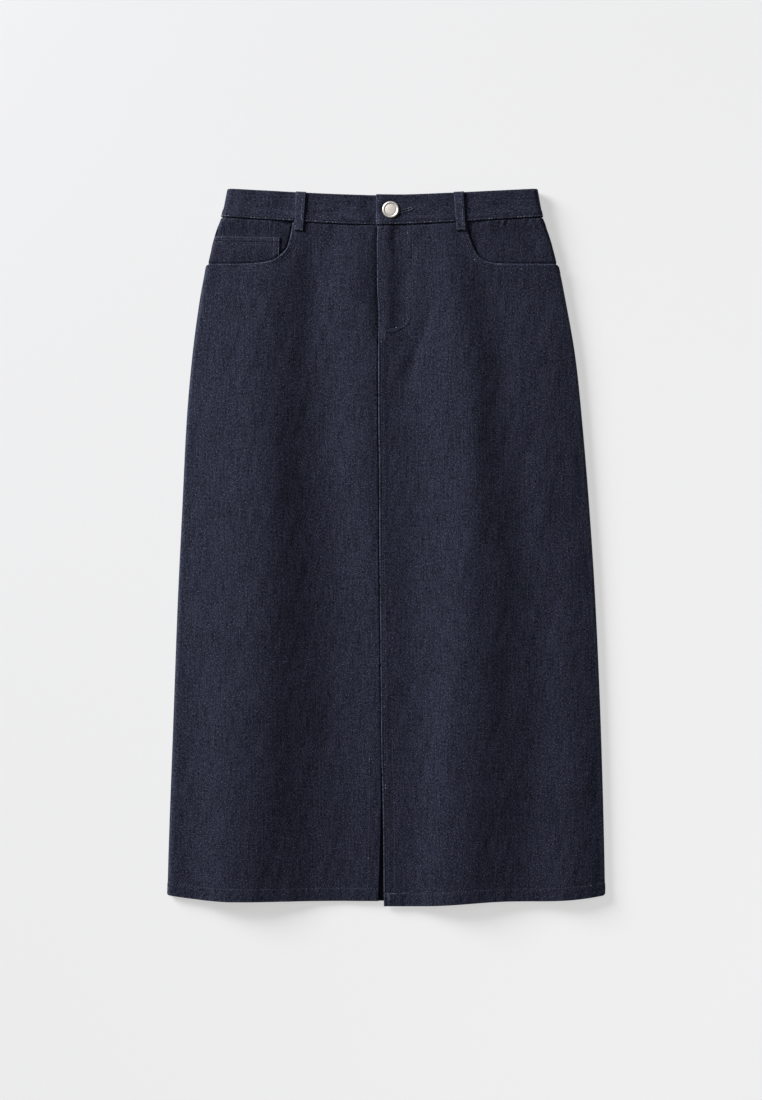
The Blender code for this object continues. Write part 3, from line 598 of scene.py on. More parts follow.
def buttonhole_relief(x, y):
    """A narrow slot pressed into the band, with a low welt of thread on each side of it."""
    across = y - (SLOT_Y0 + (SLOT_Y1 - SLOT_Y0) * (x - SLOT_X0) / (SLOT_X1 - SLOT_X0))
    start = smoothstep(SLOT_X0 + 0.004, SLOT_X0 + 0.006, x)
    slot = start * fade_out(SLOT_X1 - 0.0012, SLOT_X1, x)
    welt = start * fade_out(SLOT_X1, SLOT_X1 + 0.0010, x)
    narrowing = 1.0 - 0.75 * smoothstep(SLOT_X0 + 0.0125, SLOT_X0 + 0.0165, x)
    pressed = -SLOT_DEPTH * slot * narrowing * bump_at(0.0, 0.0006, across)
    return pressed + WELT_HEIGHT * welt * bump_at(0.0, 0.0019, across)


# ---- Mesh making ----


def new_piece(name, vertices, faces, materials, uv=None, face_material=None, wear_and_light=None):
    """A mesh object that rides on the skirt.  uv gives each vertex its place on the cut cloth, in metres."""
    mesh = bpy.data.meshes.new(name)
    mesh.from_pydata(np.asarray(vertices).reshape(-1, 3).tolist(), [], faces)
    for material in materials:
        mesh.materials.append(material)
    if uv is not None:
        corner = np.zeros(len(mesh.loops), np.int32)
        mesh.loops.foreach_get("vertex_index", corner)
        mesh.uv_layers.new(name="cloth").data.foreach_set("uv", uv[corner].ravel())
        mesh.polygons.foreach_set("material_index", np.asarray(face_material, np.int32))
        # per-vertex paleness of the outer face: rubbed wear and, in places, painted light
        mesh.attributes.new("wear_and_light", "FLOAT", "POINT").data.foreach_set("value", wear_and_light.astype(np.float32))
    mesh.shade_smooth()
    obj = bpy.data.objects.new(name, mesh)
    bpy.context.scene.collection.objects.link(obj)
    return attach(obj, "root")


def grid_faces(rows, columns, start=0):
    """Quads of a grid, as an array of vertex numbers."""
    corner = (np.arange(rows - 1)[:, None] * columns + np.arange(columns - 1)[None, :]).ravel() + start
    return np.stack([corner, corner + columns, corner + columns + 1, corner + 1], axis=-1)


def shell(name, base, outside, inside, uv, materials, wear_and_light, reverse=False):
    """A closed sheet of cloth on a grid of skin points.

    Its outer face is moved out along the normals by outside, its inner face by inside, and a narrow strip
    joins them round the border.  The grid of paleness says how much paler the outer face is: rubbed wear,
    and in places painted light.  A grid whose columns run from right to left is reversed.  Returns the
    piece, its outer grid and the grid's normals.
    """
    rows, columns = base.shape[:2]
    outside, inside, wear_and_light = (np.broadcast_to(grid, (rows, columns)) for grid in (outside, inside, wear_and_light))
    if reverse:
        base, outside, inside, uv, wear_and_light = (grid[:, ::-1] for grid in (base, outside, inside, uv, wear_and_light))
    normal = outward(base)
    outer, inner = (base + normal * moved[..., None] for moved in (outside, inside))
    count = rows * columns
    number = np.arange(count).reshape(rows, columns)
    border = np.concatenate([number[0, :-1], number[:-1, -1], number[-1, :0:-1], number[:0:-1, 0]])
    following = np.roll(border, -1)
    strip = np.stack([border, following, following + count, border + count], axis=-1)
    faces = np.concatenate([grid_faces(rows, columns), grid_faces(rows, columns, count)[:, ::-1], strip])
    face_material = np.zeros(len(faces), int)
    face_material[(rows - 1) * (columns - 1) : 2 * (rows - 1) * (columns - 1)] = len(materials) - 1
    both = np.concatenate([outer.reshape(-1, 3), inner.reshape(-1, 3)])
    maps = np.concatenate([uv.reshape(-1, 2)] * 2)
    rubbed = np.concatenate([wear_and_light.ravel(), np.zeros(count)])
    return new_piece(name, both, faces.tolist(), materials, maps, face_material, rubbed), outer, normal


def stitches(name, starts, ends, normals, material, width=THREAD_WIDTH, lift=THREAD_LIFT):
    """Stitches, each a five-sided bar that comes out of the cloth, lies along it and goes in again.

    Four rings: at shares 0, 0.2, 0.8 and 1 of the stitch, sunk at both ends and lifted between.
    """
    shares = np.array([0.0, 0.2, 0.8, 1.0])[None, :, None]
    heights = np.array([-0.9, 1.0, 1.0, -0.9])[None, :, None] * lift
    sizes = np.array([0.55, 1.0, 1.0, 0.55])[None, :, None, None]
    turns = (np.arange(5) * 2 * math.pi / 5 + math.pi / 2)[None, :, None]
    across = np.cross(normals, unit(ends - starts))
    middle = starts[:, None] + shares * (ends - starts)[:, None]
    middle = middle + heights * normals[:, None]
    ring = np.cos(turns) * across[:, None] + 0.75 * np.sin(turns) * normals[:, None]
    vertices = middle[:, :, None] + 0.5 * width * sizes * ring[:, None]
    one = np.arange(20).reshape(4, 5)
    after = np.roll(one, -1, axis=1)
    quads = np.stack([one[:-1], after[:-1], after[1:], one[1:]], axis=-1).reshape(-1, 4)
    offsets = 20 * np.arange(len(starts))[:, None]
    faces = (quads[None] + offsets[:, None]).reshape(-1, 4)[:, ::-1].tolist()
    faces += (one[0][None] + offsets).tolist() + (one[3, ::-1][None] + offsets).tolist()
    return new_piece(name, vertices, faces, [material])


def even_stitches(line, normals, seed, pitch=STITCH_PITCH, length=STITCH_LENGTH):
    """Starts, ends and normals of a row of stitches along a line of points, evenly spaced by length."""
    travel = travelled(line)
    places = np.arange(0.001, travel[-1] - length, pitch)
    places = places + np.random.default_rng(seed).uniform(-0.06, 0.06, len(places)) * pitch
    starts, ends = blended(line, travel, places), blended(line, travel, places + length)
    return starts, ends, unit(blended(normals, travel, places + length / 2))


def joined(*rows):
    """Several rows of stitches as one."""
    return tuple(np.concatenate(parts) for parts in zip(*rows))


def sewn(name, rows, worn, seed, width=THREAD_WIDTH, lift=THREAD_LIFT):
    """Rows of navy stitches in which a share, picked by chance, is rubbed pale.  Returns both pieces."""
    starts, ends, normals = joined(*rows)
    pale = np.random.default_rng(seed).random(len(starts)) < worn
    navy, rubbed = ([grid[chosen] for grid in (starts, ends, normals)] for chosen in (~pale, pale))
    return [
        stitches(name, *navy, NAVY_THREAD, width, lift),
        stitches(name + "_worn", *rubbed, PALE_THREAD, 1.1 * width, 1.2 * lift),
    ]


# ---- Finishes ----


def linear(code):
    """sRGB hex to linear colour: c / 12.92 up to 0.04045, else ((c + 0.055) / 1.055) ^ 2.4."""
    channels = [int(code[k : k + 2], 16) / 255.0 for k in (1, 3, 5)]
    return tuple(c / 12.92 if c <= 0.04045 else ((c + 0.055) / 1.055) ** 2.4 for c in channels) + (1.0,)


def feed(tree, node, inputs):
    """Gives a node's sockets, by name or number, a value each or the socket that feeds them."""
    for key, value in inputs.items():
        if isinstance(value, bpy.types.NodeSocket):
            tree.links.new(value, node.inputs[key])
        else:
            node.inputs[key].default_value = value


def add(tree, kind, inputs, out=0, **settings):
    """Adds a node with its settings and what its sockets take, and returns one of its outputs."""
    node = tree.nodes.new("ShaderNode" + kind)
    for key, value in settings.items():
        setattr(node, key, value)
    feed(tree, node, inputs)
    return node.outputs[out]


def new_finish(name):
    """A new material and its node tree and surface shader."""
    finish = bpy.data.materials.new(name)
    finish.use_nodes = True
    return finish, finish.node_tree, finish.node_tree.nodes["Principled BSDF"]


TWILL_SPACING = 0.0026  # drawn coarser than the cloth's own, to show
# The pale colour that rubbed wear and painted light both mix the denim towards.
PALE_FOR_WEAR_AND_LIGHT = "#737b92"


def denim(name, shade, body, fleck, sheen):
    """Indigo denim, a woven right-hand twill of dyed warp over a paler weft.

    The eye gets a dark, matt, finely mottled blue: short upright streaks of thick and thin warp, pale points
    of weft between them, a faint diagonal, and a bloom of raised fibre where the cloth turns away.  Warp
    yarns lie 0.45 mm apart, too fine to show, so streaks are drawn 1.3 mm apart and the twill at 2.6 mm.
    """
    finish, tree, shader = new_finish(name)
    cloth = add(tree, "UVMap", {}, uv_map="cloth")
    patterns = []
    for width, length, detail, roughness in (  # on the cloth, in millimetres
        (1.25, 3.0, 3.0, 0.55),
        (1.4, 1.3, 1.0, 0.5),
        (1.9, 28.0, 0.0, 0.5),
        (9.2, 9.2, 3.0, 0.6),
    ):
        spaced = add(tree, "Mapping", {"Vector": cloth, "Scale": (1000 / width, 1000 / length, 1.0)})
        inputs = {"Vector": spaced, "Scale": 1.0, "Detail": detail, "Roughness": roughness}
        patterns.append(add(tree, "TexNoise", inputs))
    streaks, points, slubs, clouds = patterns
    slanted = add(tree, "Mapping", {"Vector": cloth, "Rotation": (0.0, 0.0, math.radians(27))})
    spacing = 2 * math.pi / TWILL_SPACING / 20  # the node's waves are 2 pi / 20 apart at a scale of 1
    waves = {"Vector": slanted, "Scale": spacing, "Distortion": 2.2, "Detail": 1.0, "Detail Scale": 1.4}
    twill = add(tree, "TexWave", waves, "Fac")
    spread = add(tree, "MapRange", {"Value": streaks, "From Min": 0.34, "From Max": 0.66})
    weft = add(tree, "MapRange", {"Value": points, "From Min": 0.5715, "From Max": 0.764})
    yarn = add(tree, "Math", {0: twill, 1: 0.12, 2: spread}, operation="MULTIPLY_ADD")
    cloudy = add(tree, "Math", {0: clouds, 1: 0.64, 2: yarn}, operation="MULTIPLY_ADD")
    slubbed = add(tree, "Math", {0: slubs, 1: 1.0, 2: cloudy}, operation="MULTIPLY_ADD")
    dyed = add(tree, "MapRange", {"Value": slubbed, "From Min": 0.830, "From Max": 1.951})
    weft_share = add(tree, "Math", {0: weft, 1: 0.59}, operation="MULTIPLY")
    # The attribute carries rubbed wear and, in places, painted light: rim highlights, lifted shade and the
    # key's falloff.
    wear_and_light = add(tree, "Attribute", {}, "Fac", attribute_name="wear_and_light")
    wear_and_light_share = add(tree, "Math", {0: wear_and_light, 1: dyed}, operation="MULTIPLY")
    height = add(tree, "Math", {0: weft, 1: 0.5, 2: yarn}, operation="MULTIPLY_ADD")
    colour = linear(shade)
    for share, code in ((dyed, body), (weft_share, fleck), (wear_and_light_share, PALE_FOR_WEAR_AND_LIGHT)):
        layers = {"Factor": share, "A": colour, "B": linear(code)}
        colour = add(tree, "Mix", layers, "Result", data_type="RGBA")
    feed(
        tree,
        shader,
        {
            "Base Color": colour,
            "Normal": add(tree, "Bump", {"Strength": 0.30, "Distance": 0.00035, "Height": height}),
            "Roughness": add(tree, "MapRange", {"Value": spread, "To Min": 0.92, "To Max": 0.78}),
            "IOR": 1.45,
            "Specular IOR Level": 0.15,
            "Sheen Weight": sheen,
            "Sheen Roughness": 0.35,
            "Sheen Tint": linear("#8ea2dc"),
        },
    )
    return finish


def sewing_thread(name, hollow, crown):
    """Core-spun polyester thread, two-ply: a close twist that catches a little light on its crowns."""
    finish, tree, shader = new_finish(name)
    place = add(tree, "TexCoord", {}, "Object")
    ply = add(tree, "TexNoise", {"Vector": place, "Scale": 1 / 0.0011, "Detail": 1.0})
    share = add(tree, "MapRange", {"Value": ply, "From Min": 0.35, "From Max": 0.65})
    bump = add(tree, "Bump", {"Strength": 0.4, "Distance": 0.0001, "Height": ply})
    layers = {"Factor": share, "A": linear(hollow), "B": linear(crown)}
    colour = add(tree, "Mix", layers, "Result", data_type="RGBA")
    feed(tree, shader, {"Base Color": colour, "Normal": bump})
    feed(tree, shader, {"Roughness": 0.55, "IOR": 1.5, "Sheen Weight": 0.2})
    return finish


def nickel_plate(name):
    """Nickel-plated brass, pressed and tumbled: warm pale metal with fine random scuffs and dull hollows."""
    finish, tree, shader = new_finish(name)
    place = add(tree, "TexCoord", {}, "Object")
    scuffs = add(tree, "TexNoise", {"Vector": place, "Scale": 1 / 0.0007, "Detail": 3.0})
    tarnish = add(tree, "TexNoise", {"Vector": place, "Scale": 1 / 0.004, "Detail": 2.0})
    roughness = add(tree, "MapRange", {"Value": scuffs, "To Min": 0.40, "To Max": 0.60})
    bump = add(tree, "Bump", {"Strength": 0.25, "Distance": 0.00008, "Height": scuffs})
    layers = {"Factor": tarnish, "A": linear("#ece3db"), "B": linear("#fdf7f0")}
    colour = add(tree, "Mix", layers, "Result", data_type="RGBA")
    feed(tree, shader, {"Base Color": colour, "Roughness": roughness, "Normal": bump, "Metallic": 1.0})
    return finish


FACE_DENIM = denim("indigo denim, woven twill, face side", "#0f111f", "#2d3042", "#6e707f", 0.09)
DEEP_DENIM = denim("indigo denim, woven twill, pocket facing", "#0e101d", "#2a2d3f", "#646674", 0.09)
LOOP_DENIM = denim("indigo denim, woven twill, folded strip", "#141727", "#35384b", "#7a7c88", 0.06)
# Painted shade: the reverse side is drawn darker than real denim's paler back, as it shows only in shadow, in
# the slit and at edges.
INNER_DENIM_SHADED = denim("indigo denim, woven twill, reverse side", "#0e1018", "#232733", "#454955", 0.02)
NAVY_THREAD = sewing_thread("navy polyester thread, twisted", "#181b27", "#363b50")
PALE_THREAD = sewing_thread("navy polyester thread, rubbed pale", "#454b5d", "#868c9e")
NICKEL = nickel_plate("nickel-plated brass, tumbled")


# ---- Front and back panels ----


def left_front_edge(drop):
    """The left front's edge at the middle: lapped under the fly, then on the seam, then along the slit."""
    lap = FLY_LAP * np.sqrt(1.0 - np.clip((drop - FLY_END + FLY_CORNER) / FLY_CORNER, 0.0, 1.0) ** 2)
    opening = SLIT_OPENING * np.clip((drop - SLIT_TOP) / (LENGTH - SLIT_TOP), 0.0, 1.0) ** 1.6
    return centre_x(drop) - SEAM_GAP / 2.0 + lap - opening


def right_front_edge(drop):
    return centre_x(drop) + SEAM_GAP / 2.0


FRONT_EDGE = {LEFT: left_front_edge, RIGHT: right_front_edge}


def rows_down(top_drop):
    """Drops of the rows for each column, from its top to the hem: close together at both ends, then 1.2 mm
    apart down to the foot of the fly, then wider."""
    head = top_drop[None, :] + NEAR_EDGE[:, None]
    tail = np.broadcast_to((LENGTH - NEAR_HEM[::-1])[:, None], (len(NEAR_HEM), len(top_drop)))
    share = np.concatenate([np.linspace(0.0, 0.18, 108)[1:], np.linspace(0.18, 1.0, 152)[1:-1]])[:, None]
    return np.concatenate([head, head[-1] + share * (tail[0] - head[-1]), tail])


def front_panel(side):
    """A front panel.  Columns keep their distance from the centre edge near it, and start at even places
    along the pocket mouth; lower down they spread evenly."""
    right_front, edge_at, near = side == RIGHT, FRONT_EDGE[side], len(NEAR_EDGE)
    mouth = mouth_line(side, MOUTH_STEP)
    mouth_x, mouth_drop = mouth[0, 0], drop_of(*mouth.T, right_front)

    # tops of the columns: near the edge, across the front, then along the mouth to the side turn
    plain_x = edge_at(mouth_drop[0]) + side * NEAR_EDGE
    start = abs(mouth_x - plain_x[-1])
    fine_step, fine_end = FINE_COLUMNS[side]
    fine = np.arange(fine_step, fine_end, fine_step)
    rest = start - fine[-1]
    wider = fine[-1] + np.linspace(0.0, rest, round(rest / COLUMN_STEP) + 1)[1:-1]
    across_front = plain_x[-1] + side * np.concatenate([fine, wider])
    flat_end = flat_reach(side, mouth_drop)
    kept = np.abs(mouth[:, 0]) < flat_end - 0.0006
    top_x = np.concatenate([plain_x, across_front, mouth[kept, 0], [side * flat_end[kept][-1]]])
    under_band = np.full(near + len(across_front), mouth_drop[0])
    top_drop = np.concatenate([under_band, mouth_drop[kept], mouth_drop[kept][-1:]])

    drop = rows_down(top_drop)
    flat_columns, edge = drop.shape[1], edge_at(drop)
    width = np.abs(edge - side * flat_reach(side, drop))
    by_distance = 1.0 - NEAR_EDGE[None, :] / width[:, :near]
    evenly = by_distance[:, -1:] * np.linspace(1.0, 0.0, len(top_x) - near + 1)[None, 1:]
    drift = np.clip((np.abs(mouth_x) - np.abs(top_x[near:])) / start, 0.0, 1.0)
    upright_x = top_x[near:] + drift * (edge[:, near:] - edge_at(top_drop[near:]))
    upright = 1.0 - np.abs(upright_x - edge[:, near:]) / width[:, near:]
    upright[:, -1] = 0.0
    spread = smoothstep(*SPREAD_DROPS, drop[:, near:])
    share = side_by_side(by_distance, upright * (1 - spread) + evenly * spread)
    flat = skin(side, drop, share=share, to_x=edge, right_front=right_front)
    if not right_front:
        flat[..., 2] -= fly_step(flat[..., 0], drop)

    side_drop = drop[:, -1:]
    turn = turn_at(side, side_drop)
    angle = side_angles(side, side_drop, True, FRONT_STEPS)
    corner = MOUTH_CORNER[side] * turn[0, 0] * (1.0 - np.abs(np.sin(angle)))
    turn_drop = side_drop + corner * fade_out(0.0, 0.030, side_drop - side_drop[0, 0])
    turn_drop = turn_drop - hem_corner(side, angle, turn_drop)
    base = side_by_side(flat, skin(side, turn_drop, angle, right_front=right_front))
    drops = side_by_side(drop, turn_drop)
    x, y, up = base[..., 0], base[..., 1], LENGTH - drops

    across = side_by_side(share * width, 0.0 * angle)
    inset = side_by_side((1.0 - share) * width, FAR + 0.0 * angle)
    seam_run = side_by_side(FAR + 0.0 * drop, (angle - angle[:, -1:]) * turn)
    from_side = reach_at(side, drops) - side * x
    high = drops < MOUTH_REACH
    high[:, flat_columns:] = False
    from_mouth = np.full(drops.shape, FAR)
    from_mouth[high] = distance_to(mouth, x[high], y[high])
    from_mouth[:, flat_columns:] = (turn_drop - turn_drop[0]) * (1.0 - 0.3 * MOUTH_CORNER[side])

    relief = front_relief(x, y) * smoothstep(0.0, FOLD_SETBACK, across)
    relief += waist_ditch(drops) + seam_puckers(x, drops) + hem_relief(x, drops)
    relief += MOUTH_PROUD * fade_out(0.0052, 0.0066, from_mouth)
    relief -= MOUTH_GROOVE * bump_at(MOUTH_ROWS[1], 0.0008, from_mouth)
    relief += mouth_lift(side, x, drops, from_mouth)
    under_fly = below_fly(drops)
    if right_front:
        groove = (0.00012 + 0.00043 * under_fly) * bump_at(FLY_EDGE_ROW, GROOVE, inset)
        slit_corner = bump_at(0.0050, 0.0044, inset) * bump_at(0.0106, 0.0038, up)
        relief += seam_ridge(inset, drops)
        relief -= groove * smoothstep(0.036, 0.040, drops)
        relief += fly_stitch_relief(x, y)
        relief += 0.0002 * slit_corner
        edge_round = rounded(inset)
        worn_edge = np.maximum(bump_at(0.0, 0.0008, inset), 1.1 * slit_corner)
        worn_edge = np.maximum(worn_edge, 0.13 * bump_at(0.0024, 0.0018, inset) * (1.0 - under_fly))
    else:
        on_seam = under_fly * fade_out(0.575, 0.60, drops)
        relief -= 0.00030 * fade_out(0.002, 0.010, inset) * on_seam
        edge_round = np.maximum(rounded(inset) * under_fly, rounded(inset, 0.0019) * on_seam)
        worn_edge = 0.0 * inset
    fall = np.maximum.reduce([edge_round, rounded(from_mouth), rounded(up), rounded(seam_run, SEAM_ROUND)])
    steep = fade_out(0.0265, 0.042, side * (x - mouth_x))
    wear_and_light = np.maximum.reduce(
        [
            0.42 * worn_edge,
            # Along a pocket mouth: rubbed wear, and on its steep leg a painted highlight as well.
            (0.25 + 0.29 * steep) * bump_at(0.0, 0.0010, from_mouth),
            0.20 * bump_at(0.0, 0.0011, up),
            # Painted light: paler away from the hem, standing in for the key light's falloff down the skirt.
            PAINTED_KEY_FALLOFF * fade_out(0.42, 0.75, drops) * smoothstep(0.004, 0.030, from_side),
            # Along the side turn: rubbed wear and a painted rim highlight.
            SIDE_WEAR_AND_RIM_LIGHT[side] * bump_at(0.0021, 0.0017, from_side) * smoothstep(0.0, 0.008, from_mouth),
        ]
    )
    round_turn = side * (flat_reach(side, turn_drop) + (FRONT_ANGLE - angle) * turn)
    uv = np.stack([side_by_side(flat[..., 0], round_turn), -drops], axis=-1)
    name, materials = "denim_front_" + SIDE_NAME[side], [FACE_DENIM, INNER_DENIM_SHADED]
    return shell(name, base, relief - fall, relief - WALL, uv, materials, wear_and_light, right_front)


def on_front(side, x, y):
    """Points and normals of a front panel's outside at places (x, y), from its height and its slopes."""
    mouth = mouth_line(side, MOUTH_STEP)

    def height(px, py):
        drop = drop_of(px, py, side == RIGHT)
        z = front_height(px, drop) + front_relief(px, py)
        z = z + mouth_lift(side, px, drop, distance_to(mouth, px, py))
        return z - fly_step(px, drop) if side == LEFT else z + seam_ridge(px - centre_x(drop), drop)

    step = 0.0005
    slope_x = (height(x + step, y) - height(x - step, y)) / (2 * step)
    slope_y = (height(x, y + step) - height(x, y - step)) / (2 * step)
    normal = unit(np.stack([-slope_x, -slope_y, np.ones_like(x)], axis=-1))
    return np.stack([x, y, height(x, y)], axis=-1), normal


def back_panel():
    """The back: two side turns and a flat between them, its hem turned up like the front's."""
    body = np.linspace(PIECE_TOP + 0.012, LENGTH - 0.020, 110)
    rows = np.concatenate([PIECE_TOP + NEAR_EDGE[::2], body, LENGTH - NEAR_HEM[::-1]])[:, None]
    half = np.linspace(0.0, 1.0, 34)[None, :]
    parts = []
    for side, steps, shares in ((LEFT, BACK_STEPS, half[:, 1:]), (RIGHT, BACK_STEPS[::-1], half[:, -2:0:-1])):
        angle = side_angles(side, rows, False, steps)
        seam = angle[:, :1] if side == LEFT else angle[:, -1:]
        turned = skin(side, rows - hem_corner(side, angle, rows), angle)
        flat = skin(side, rows, BACK_ANGLE, shares)
        round_turn = turned[..., 0] + side * (angle - BACK_ANGLE) * turn_at(side, rows)
        seam_run = np.abs((seam - angle) * turn_at(side, rows))
        parts += [(turned, seam_run, round_turn), (flat, FAR + 0.0 * flat[..., 0], flat[..., 0])][::-side]
    base, seam_run, u = (side_by_side(*grids) for grids in zip(*parts))
    drop = rows + 0.0 * u
    up = LENGTH - drop
    nip = NIP * smoothstep(NIP_START, NIP_DEEPEST, drop) * fade_out(NIP_DEEPEST + 0.001, NIP_END, drop)
    for side in (LEFT, RIGHT):
        base[..., 0] -= side * nip * smoothstep(-0.014, -0.004, side * base[..., 0] - reach_at(side, drop))
    x = base[..., 0]
    grooves = 0.00020 * bump_at(HEM_DEPTH, GROOVE, up) + 0.0004 * bump_at(0.0, 0.0010, x + 0.0026)
    hollows = np.minimum(worn_waves(x, drop, 31, 0.070, 0.00055), 0.0) * smoothstep(0.0, 0.02, up)
    relief = 0.7 * waist_ditch(drop) - grooves + hollows
    fall = np.maximum(rounded(up), rounded(seam_run, SEAM_ROUND))
    uv = np.stack([u + 0.9, -drop], axis=-1)
    wear_and_light = 0.35 * bump_at(0.0, 0.0013, up)
    return shell("denim_back", base, relief - fall, relief - WALL, uv, [FACE_DENIM, INNER_DENIM_SHADED], wear_and_light)


# ---- Pocket facings and coin pocket ----


def pocket_facing(side):
    """What shows inside a pocket's mouth, level with the waist seam and then down under the panel."""
    mouth_x = MOUTH[side][1][0]
    inner_x = mouth_x - side * FACING_UNDER
    body, foot = np.linspace(0.0413, 0.088, 52), np.linspace(0.089, FACING_END, 8)
    rows = np.concatenate([PIECE_TOP + NEAR_EDGE, body, foot])[:, None]
    shares = np.linspace(1.0, 0.0, 132)[None, :]
    flat = skin(side, rows, share=shares, to_x=inner_x)
    angle = side_angles(side, rows, True, FACING_STEPS)
    base = side_by_side(flat, skin(side, rows, angle))
    x, y = base[..., 0], base[..., 1]
    drop = rows + 0.0 * x
    width = np.abs(inner_x - side * flat_reach(side, rows))
    across = side_by_side(shares * width, 0.0 * angle)
    below_seam = smoothstep(BAND_DEPTH, BAND_DEPTH + FACING_RAMP, drop)
    near_leg = smoothstep(-0.026, -0.004, side * (mouth_x - x))
    depth = FACING_DEPTH[side] * np.maximum(below_seam, near_leg)
    relief = front_relief(x, y) * smoothstep(0.0, FOLD_SETBACK, across) + 0.8 * waist_ditch(drop) - depth
    relief += FACING_PUCKERS[side] * seam_puckers(x, drop) - mouth_ditch(side, x, y)
    seam_run = side_by_side(FAR + 0.0 * flat[..., 0], (angle - angle[:, -1:]) * turn_at(side, rows))
    relief -= rounded(seam_run, SEAM_ROUND)
    u = side_by_side(flat[..., 0], side * (width + abs(inner_x)) + side * (FRONT_ANGLE - angle) * 0.005)
    uv = np.stack([u + 2.0, -drop], axis=-1)
    # Painted light: the facing is paler just below the waist seam, lifting the waistband's shade, on top of
    # the painted key falloff.
    wear_and_light = PAINTED_KEY_FALLOFF + FACING_PAINTED_LIGHT[side] * bump_at(BAND_DEPTH + 0.0052, 0.0070, drop)
    name, materials = "denim_pocket_facing_" + SIDE_NAME[side], [DEEP_DENIM, INNER_DENIM_SHADED]
    return shell(name, base, relief, relief - FACING_WALL, uv, materials, wear_and_light, side == RIGHT)


def coin_pocket():
    """A small patch over the left facing: hemmed top edge, and a doubled strip down its inner edge."""
    near = np.concatenate([NEAR_EDGE[:11], np.linspace(0.0042, 0.0120, 8)])
    rows = np.concatenate([COIN_TOP + near, np.linspace(COIN_TOP + 0.0130, COIN_END, 38)])[:, None]
    width = np.abs(COIN_RIGHT_X + flat_reach(LEFT, rows))
    beyond = near[-1] + np.linspace(0.0, 1.0, 64)[None, 1:] * (width - near[-1])
    inset = side_by_side(near[None, :] + 0.0 * width, beyond)
    shares = 1.0 - inset / width
    angle = side_angles(LEFT, rows, True, COIN_STEPS)
    tilted, turn_drop = rows + COIN_TILT * (1.0 - shares), rows + COIN_TILT + 0.0 * angle
    base = side_by_side(skin(LEFT, tilted, share=shares, to_x=COIN_RIGHT_X), skin(LEFT, turn_drop, angle))
    drop = side_by_side(tilted, turn_drop)
    x, y = base[..., 0], base[..., 1]
    from_top = (rows - COIN_TOP) + 0.0 * x
    from_side = side_by_side(inset, FAR + 0.0 * angle)
    across = side_by_side(shares * width, 0.0 * angle)
    relief = front_relief(x, y) * smoothstep(0.0, FOLD_SETBACK, across)
    relief = relief - PANEL_LAYER - mouth_ditch(LEFT, x, y)
    relief += COIN_STRIP * fade_out(0.0068, 0.0078, from_side)
    relief += COIN_HEM * fade_out(0.0050, 0.0062, from_top)
    grooves = COIN_HEM_GROOVE * bump_at(0.0066, 0.0015, from_top)
    relief -= grooves + COIN_STRIP_GROOVE * bump_at(0.0070, GROOVE, from_side)
    fall = np.maximum(rounded(from_top), rounded(from_side))
    strips = np.maximum(fade_out(0.0046, 0.0060, from_top), fade_out(0.0060, 0.0074, from_side))
    worn_top, worn_side = (bump_at(0.0, EDGE_ROUND, away) for away in (from_top, from_side))
    # Beside wear at its edges, the patch takes the same painted key falloff as the upper front.
    wear_and_light = np.maximum.reduce([0.16 * worn_top, 0.30 * worn_side, PAINTED_KEY_FALLOFF + 0.06 * strips])
    uv = np.stack([x + 3.0, -drop], axis=-1)
    name, materials = "denim_coin_pocket", [FACE_DENIM, INNER_DENIM_SHADED]
    return *shell(name, base, relief - fall, relief - COIN_WALL, uv, materials, wear_and_light), from_top, from_side


# ---- Waistband and belt loops ----


